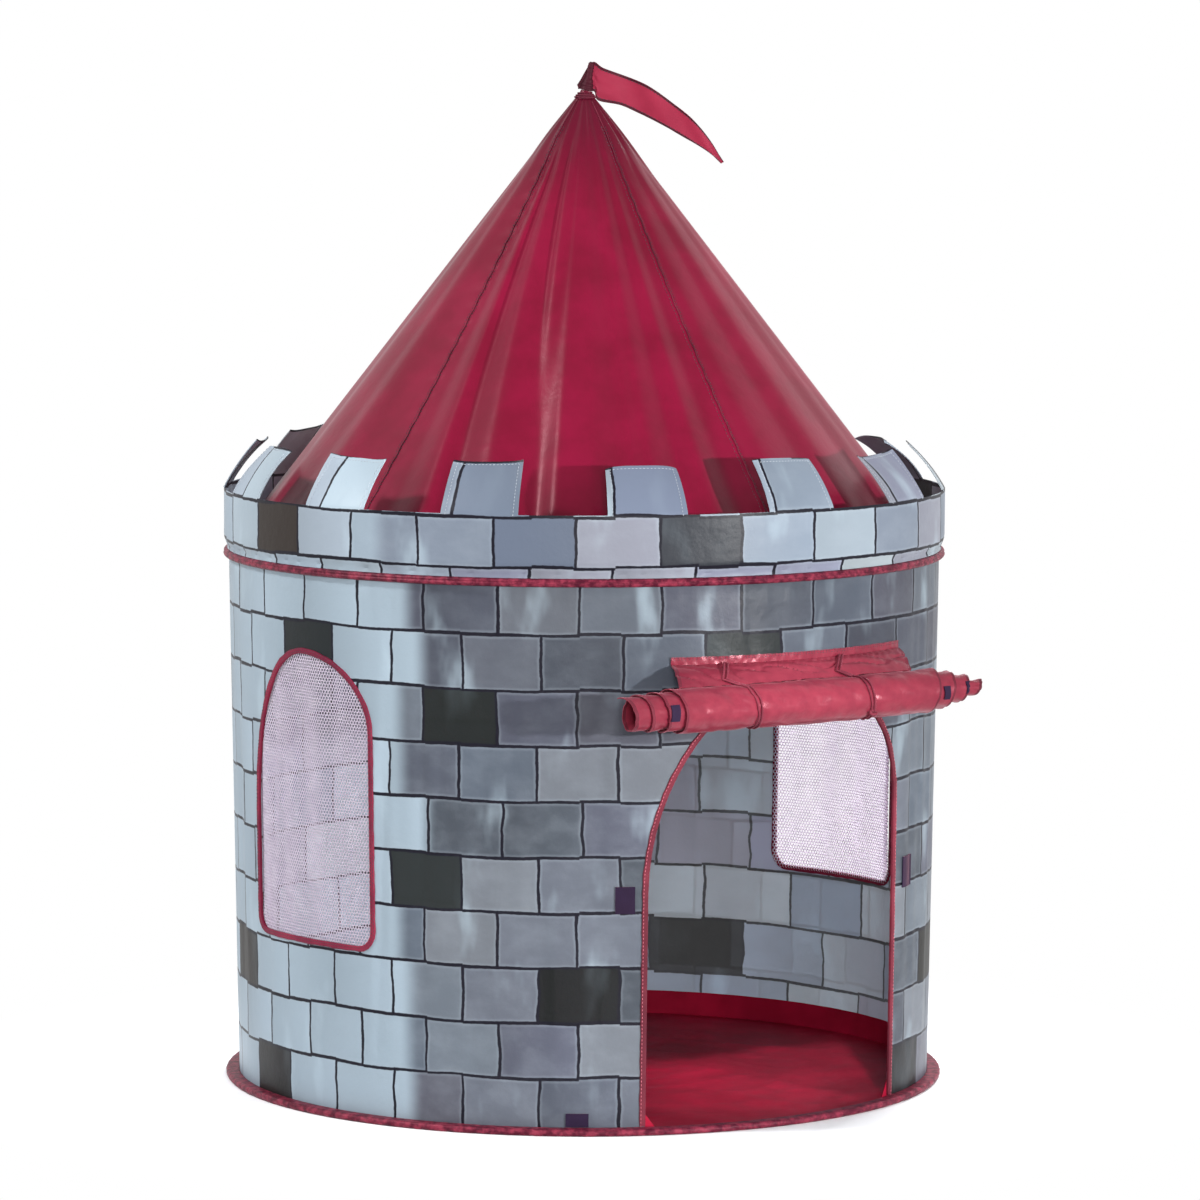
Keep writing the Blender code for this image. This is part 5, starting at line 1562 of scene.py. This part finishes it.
# %% Pennant
FLAG_POLE_FOOT = Vector((-0.004, 0.0, 1.330))
FLAG_LEAN = 10.0
FLAG_SLEEVE_FOOT = 1.3660
FLAG_TOP = 1.4035
FLAG_WAVE = 0.006
FLAG_RIPPLE = 0.0022
FLAG_PULL = 0.0016
FLAG_HEM_STEP = 0.0004
FLAG_LENGTH = 0.191
SLEEVE_RADIUS = 0.0044
SLEEVE_STEPS = 30
# The pennant's upper and lower edge, as (x, height above the apex), from the sleeve to the tip.
FLAG_EDGES = (((-0.0104, 0.0010), (-0.0094, -0.0036)), ((0.0090, 0.0320), (0.0128, -0.0076)),
              ((0.0260, 0.0245), (0.0190, -0.0200)), ((0.0630, 0.0110), (0.0500, -0.0265)),
              ((0.0920, -0.0025), (0.0760, -0.0380)), ((0.1260, -0.0270), (0.1080, -0.0540)),
              ((0.1520, -0.0490), (0.1400, -0.0720)), ((0.1740, -0.0760), (0.1680, -0.0890)),
              ((0.1910, -0.1045), (0.1885, -0.1055)))


def along_edge(points, place_along):
    """A smooth line through points, each with its number, at a place from 0 to the last number."""
    k = min(len(points) - 2, int(place_along))
    share = place_along - k
    p = [Vector(points[min(max(k + d, 0), len(points) - 1)]) for d in (-1, 0, 1, 2)]
    return (p[1] * 2 + (p[2] - p[0]) * share + (p[0] * 2 - p[1] * 5 + p[2] * 4 - p[3]) * share ** 2
            + (p[1] * 3 - p[0] - p[2] * 3 + p[3]) * share ** 3) / 2


def flag_surface(place_along, rise):
    """A point of the pennant. rise runs from its lower edge, 0, to its upper one, 1."""
    upper = along_edge([edge[0] for edge in FLAG_EDGES], place_along)
    lower = along_edge([edge[1] for edge in FLAG_EDGES], place_along)
    x, height = mix(lower, upper, rise)
    wave = FLAG_WAVE * sin(2 * pi * x / FLAG_LENGTH) * between(place_along, 1.5, 3.2)
    ripple = FLAG_RIPPLE * between(place_along, 1.5, 3.0) * sin(x * 95.0 + rise * 2.6)
    pull = FLAG_PULL * between(place_along, 0.8, 1.3) * sin(rise * 17.0) * exp(-(place_along - 1.0) * 1.3)
    hem = FLAG_HEM_STEP * (1.0 - between(min(rise, 1.0 - rise), 0.07, 0.10))
    return Vector((x, wave + ripple + pull - FABRIC / 2 - hem, APEX_HEIGHT + height))


flag_columns = [j / 12 for j in range(12 * (len(FLAG_EDGES) - 1) + 1)]
flag_rows = [0.0, 0.045, 0.085, 0.10] + [mix(0.13, 0.87, j / 16) for j in range(17)] + [0.90, 0.915, 0.955, 1.0]
pennant = grid_sheet("flag_cloth", flag_columns, flag_rows, flag_surface, [FLAG_CLOTH, FLAG_CLOTH, FLAG_HEM],
                     trim=lambda i, j: j in (0, 1, len(flag_rows) - 3, len(flag_rows) - 2) or i < 11)


def flag_axis_point(height):
    lean = radians(FLAG_LEAN)
    return FLAG_POLE_FOOT + Vector((tan(lean), 0.0, 1.0)) * (height - FLAG_POLE_FOOT.z)


def sleeve_radius(share):
    """The sleeve is wider at its foot, gathered by its stitches and closed over the rod's top."""
    closing = 1.0 - between(share, 0.93, 1.0) * 0.55
    skirt = 1.0 + 0.85 * (1.0 - between(share, 0.12, 0.55))
    return SLEEVE_RADIUS * closing * skirt * (1.0 + 0.07 * sin(share * 40.0))


sleeve_path = [flag_axis_point(mix(FLAG_SLEEVE_FOOT, FLAG_TOP + 0.0016, k / SLEEVE_STEPS))
               for k in range(SLEEVE_STEPS + 1)]
sleeve = cord_piece("flag_sleeve_cloth", sleeve_path, sleeve_radius, FLAG_HEM, sides=18)
for piece in (pennant, sleeve):
    belongs(piece, "flag", "flag")
print("pennant", len(pennant.data.polygons), "faces")

# %% Gathering cord
GATHER_HEIGHT = 1.357
GATHER_RISE = 0.0069
GATHER_TURNS = 3.1
GATHER_STEPS = 216
GATHER_RADIUS = 0.0012


def gather_path():
    """A little over three turns, each against the one below."""
    points = []
    for k in range(GATHER_STEPS + 1):
        height = GATHER_HEIGHT + 0.0004 * sin(k * 0.09) + GATHER_RISE * (k / GATHER_STEPS - 0.36)
        points.append(on_roof(360.0 * GATHER_TURNS * k / GATHER_STEPS - 40.0, height, 0.0014))
    return points


gather = cord_piece("apex_tie_cord", gather_path(), GATHER_RADIUS, CORD_AND_SEAM_SHADE_LOOK)
belongs(gather, "root", "apex_tie")
print(gather.name, len(gather.data.polygons), "faces")

# %% [markdown]
# ## Stitching
#
# Last, the seams are sewn: along the roof's felled seams, round the bindings, along the merlons' hems and
# the door's hem, and round the pennant. Each row follows the same surface functions as the cloth, so every
# stitch lies on it.

# %% Rows of stitches
ROW_OFFSET = 0.0055
STITCH_SPACING = 0.005
STITCH_LENGTH = 0.0034
STITCH_THREAD = 0.0009
SIDE_POINTS = 14


def seam_rows():
    """Both sides of each roof seam, from the foot to the gathers."""
    rows = []
    for seam in SEAM_AZIMUTHS:
        for side in (-1.0, 1.0):
            heights = [mix(ROOF_FOOT + 0.01, ROOF_TOP - 0.05, k / 90) for k in range(91)]
            rows.append([on_roof(seam + side * degrees(0.0035 / roof_radius(seam, z)), z, 0.0003)
                         for z in heights])
    return rows


def binding_row(outline, azimuth, across, closed=True):
    """A row along a binding, across its tape from its inner edge at 0 to its outer one at 1."""
    path = denser(outline, 0.006, closed)
    row = []
    for k, here in enumerate(path):
        before = path[k - 1] if closed or k else here
        after = path[(k + 1) % len(path)] if closed or k < len(path) - 1 else here
        left = (Vector(after) - Vector(before)).normalized().orthogonal()
        at = Vector(here) - left * (across * TAPE_WIDTH)
        row.append(on_wall(wall_azimuth(azimuth, at.x, at.y), at.y, 0.0020))
    return row + row[:1] if closed else row


def merlon_rows(first):
    """The hem's row of stitches, up one side of each merlon, along its tip and down the other."""
    rows = []
    top = 2.0 - ROW_OFFSET / MERLON_LENGTH
    for number in range(HALF_MERLONS):
        start = (first + number) * PER_MERLON + GAP_COLUMNS
        left, right = start + 1, start + MERLON_COLUMNS - 1
        rows.append([band_point(left, mix(1.0, top, k / SIDE_POINTS)) for k in range(SIDE_POINTS + 1)]
                    + [band_point(column, top) for column in range(left + 1, right)]
                    + [band_point(right, mix(top, 1.0, k / SIDE_POINTS)) for k in range(SIDE_POINTS + 1)])
    return rows


def raised(rows, lift):
    """The rows, lifted away from the tent's axis."""
    return [[point + Vector((point.x, point.y, 0.0)).normalized() * lift for point in row] for row in rows]


STITCHING = {
    "roof_stitches": (seam_rows(), THREAD_DARK, "root"),
    "door_binding_stitches": ([binding_row(door_line, DOOR_AZIMUTH, 0.72, closed=False)], THREAD_RED, "root"),
    **{f"merlon_stitches_{side}": (raised(merlon_rows(first), 0.0004), THREAD_PALE, "root")
       for side, first in HALF_STARTS.items()},
    "hem_stitches": ([[hem_surface(mix(*HEM_AZIMUTHS, k / 200), share) for k in range(201)]
                      for share in (0.66, 0.90)], THREAD_DARK, "root"),
    "flag_stitches": ([[flag_surface(k / 16, rise) for k in range(17, 125)] for rise in (0.085, 0.915)],
                      THREAD_DARK, "flag"),
}
for side, azimuth in WINDOW_AZIMUTHS.items():
    STITCHING[f"window_stitches_{side}"] = ([binding_row(window_line, azimuth, across) for across in (0.25, 0.78)],
                                            THREAD_DARK, "root")
for name, (rows, look, body) in STITCHING.items():
    stitches = grown(name, rows, STITCH_TREE, look, Spacing=STITCH_SPACING, Length=STITCH_LENGTH,
                     Thread=STITCH_THREAD)
    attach(stitches, body)
    print(name, len(stitches.data.polygons), "faces")
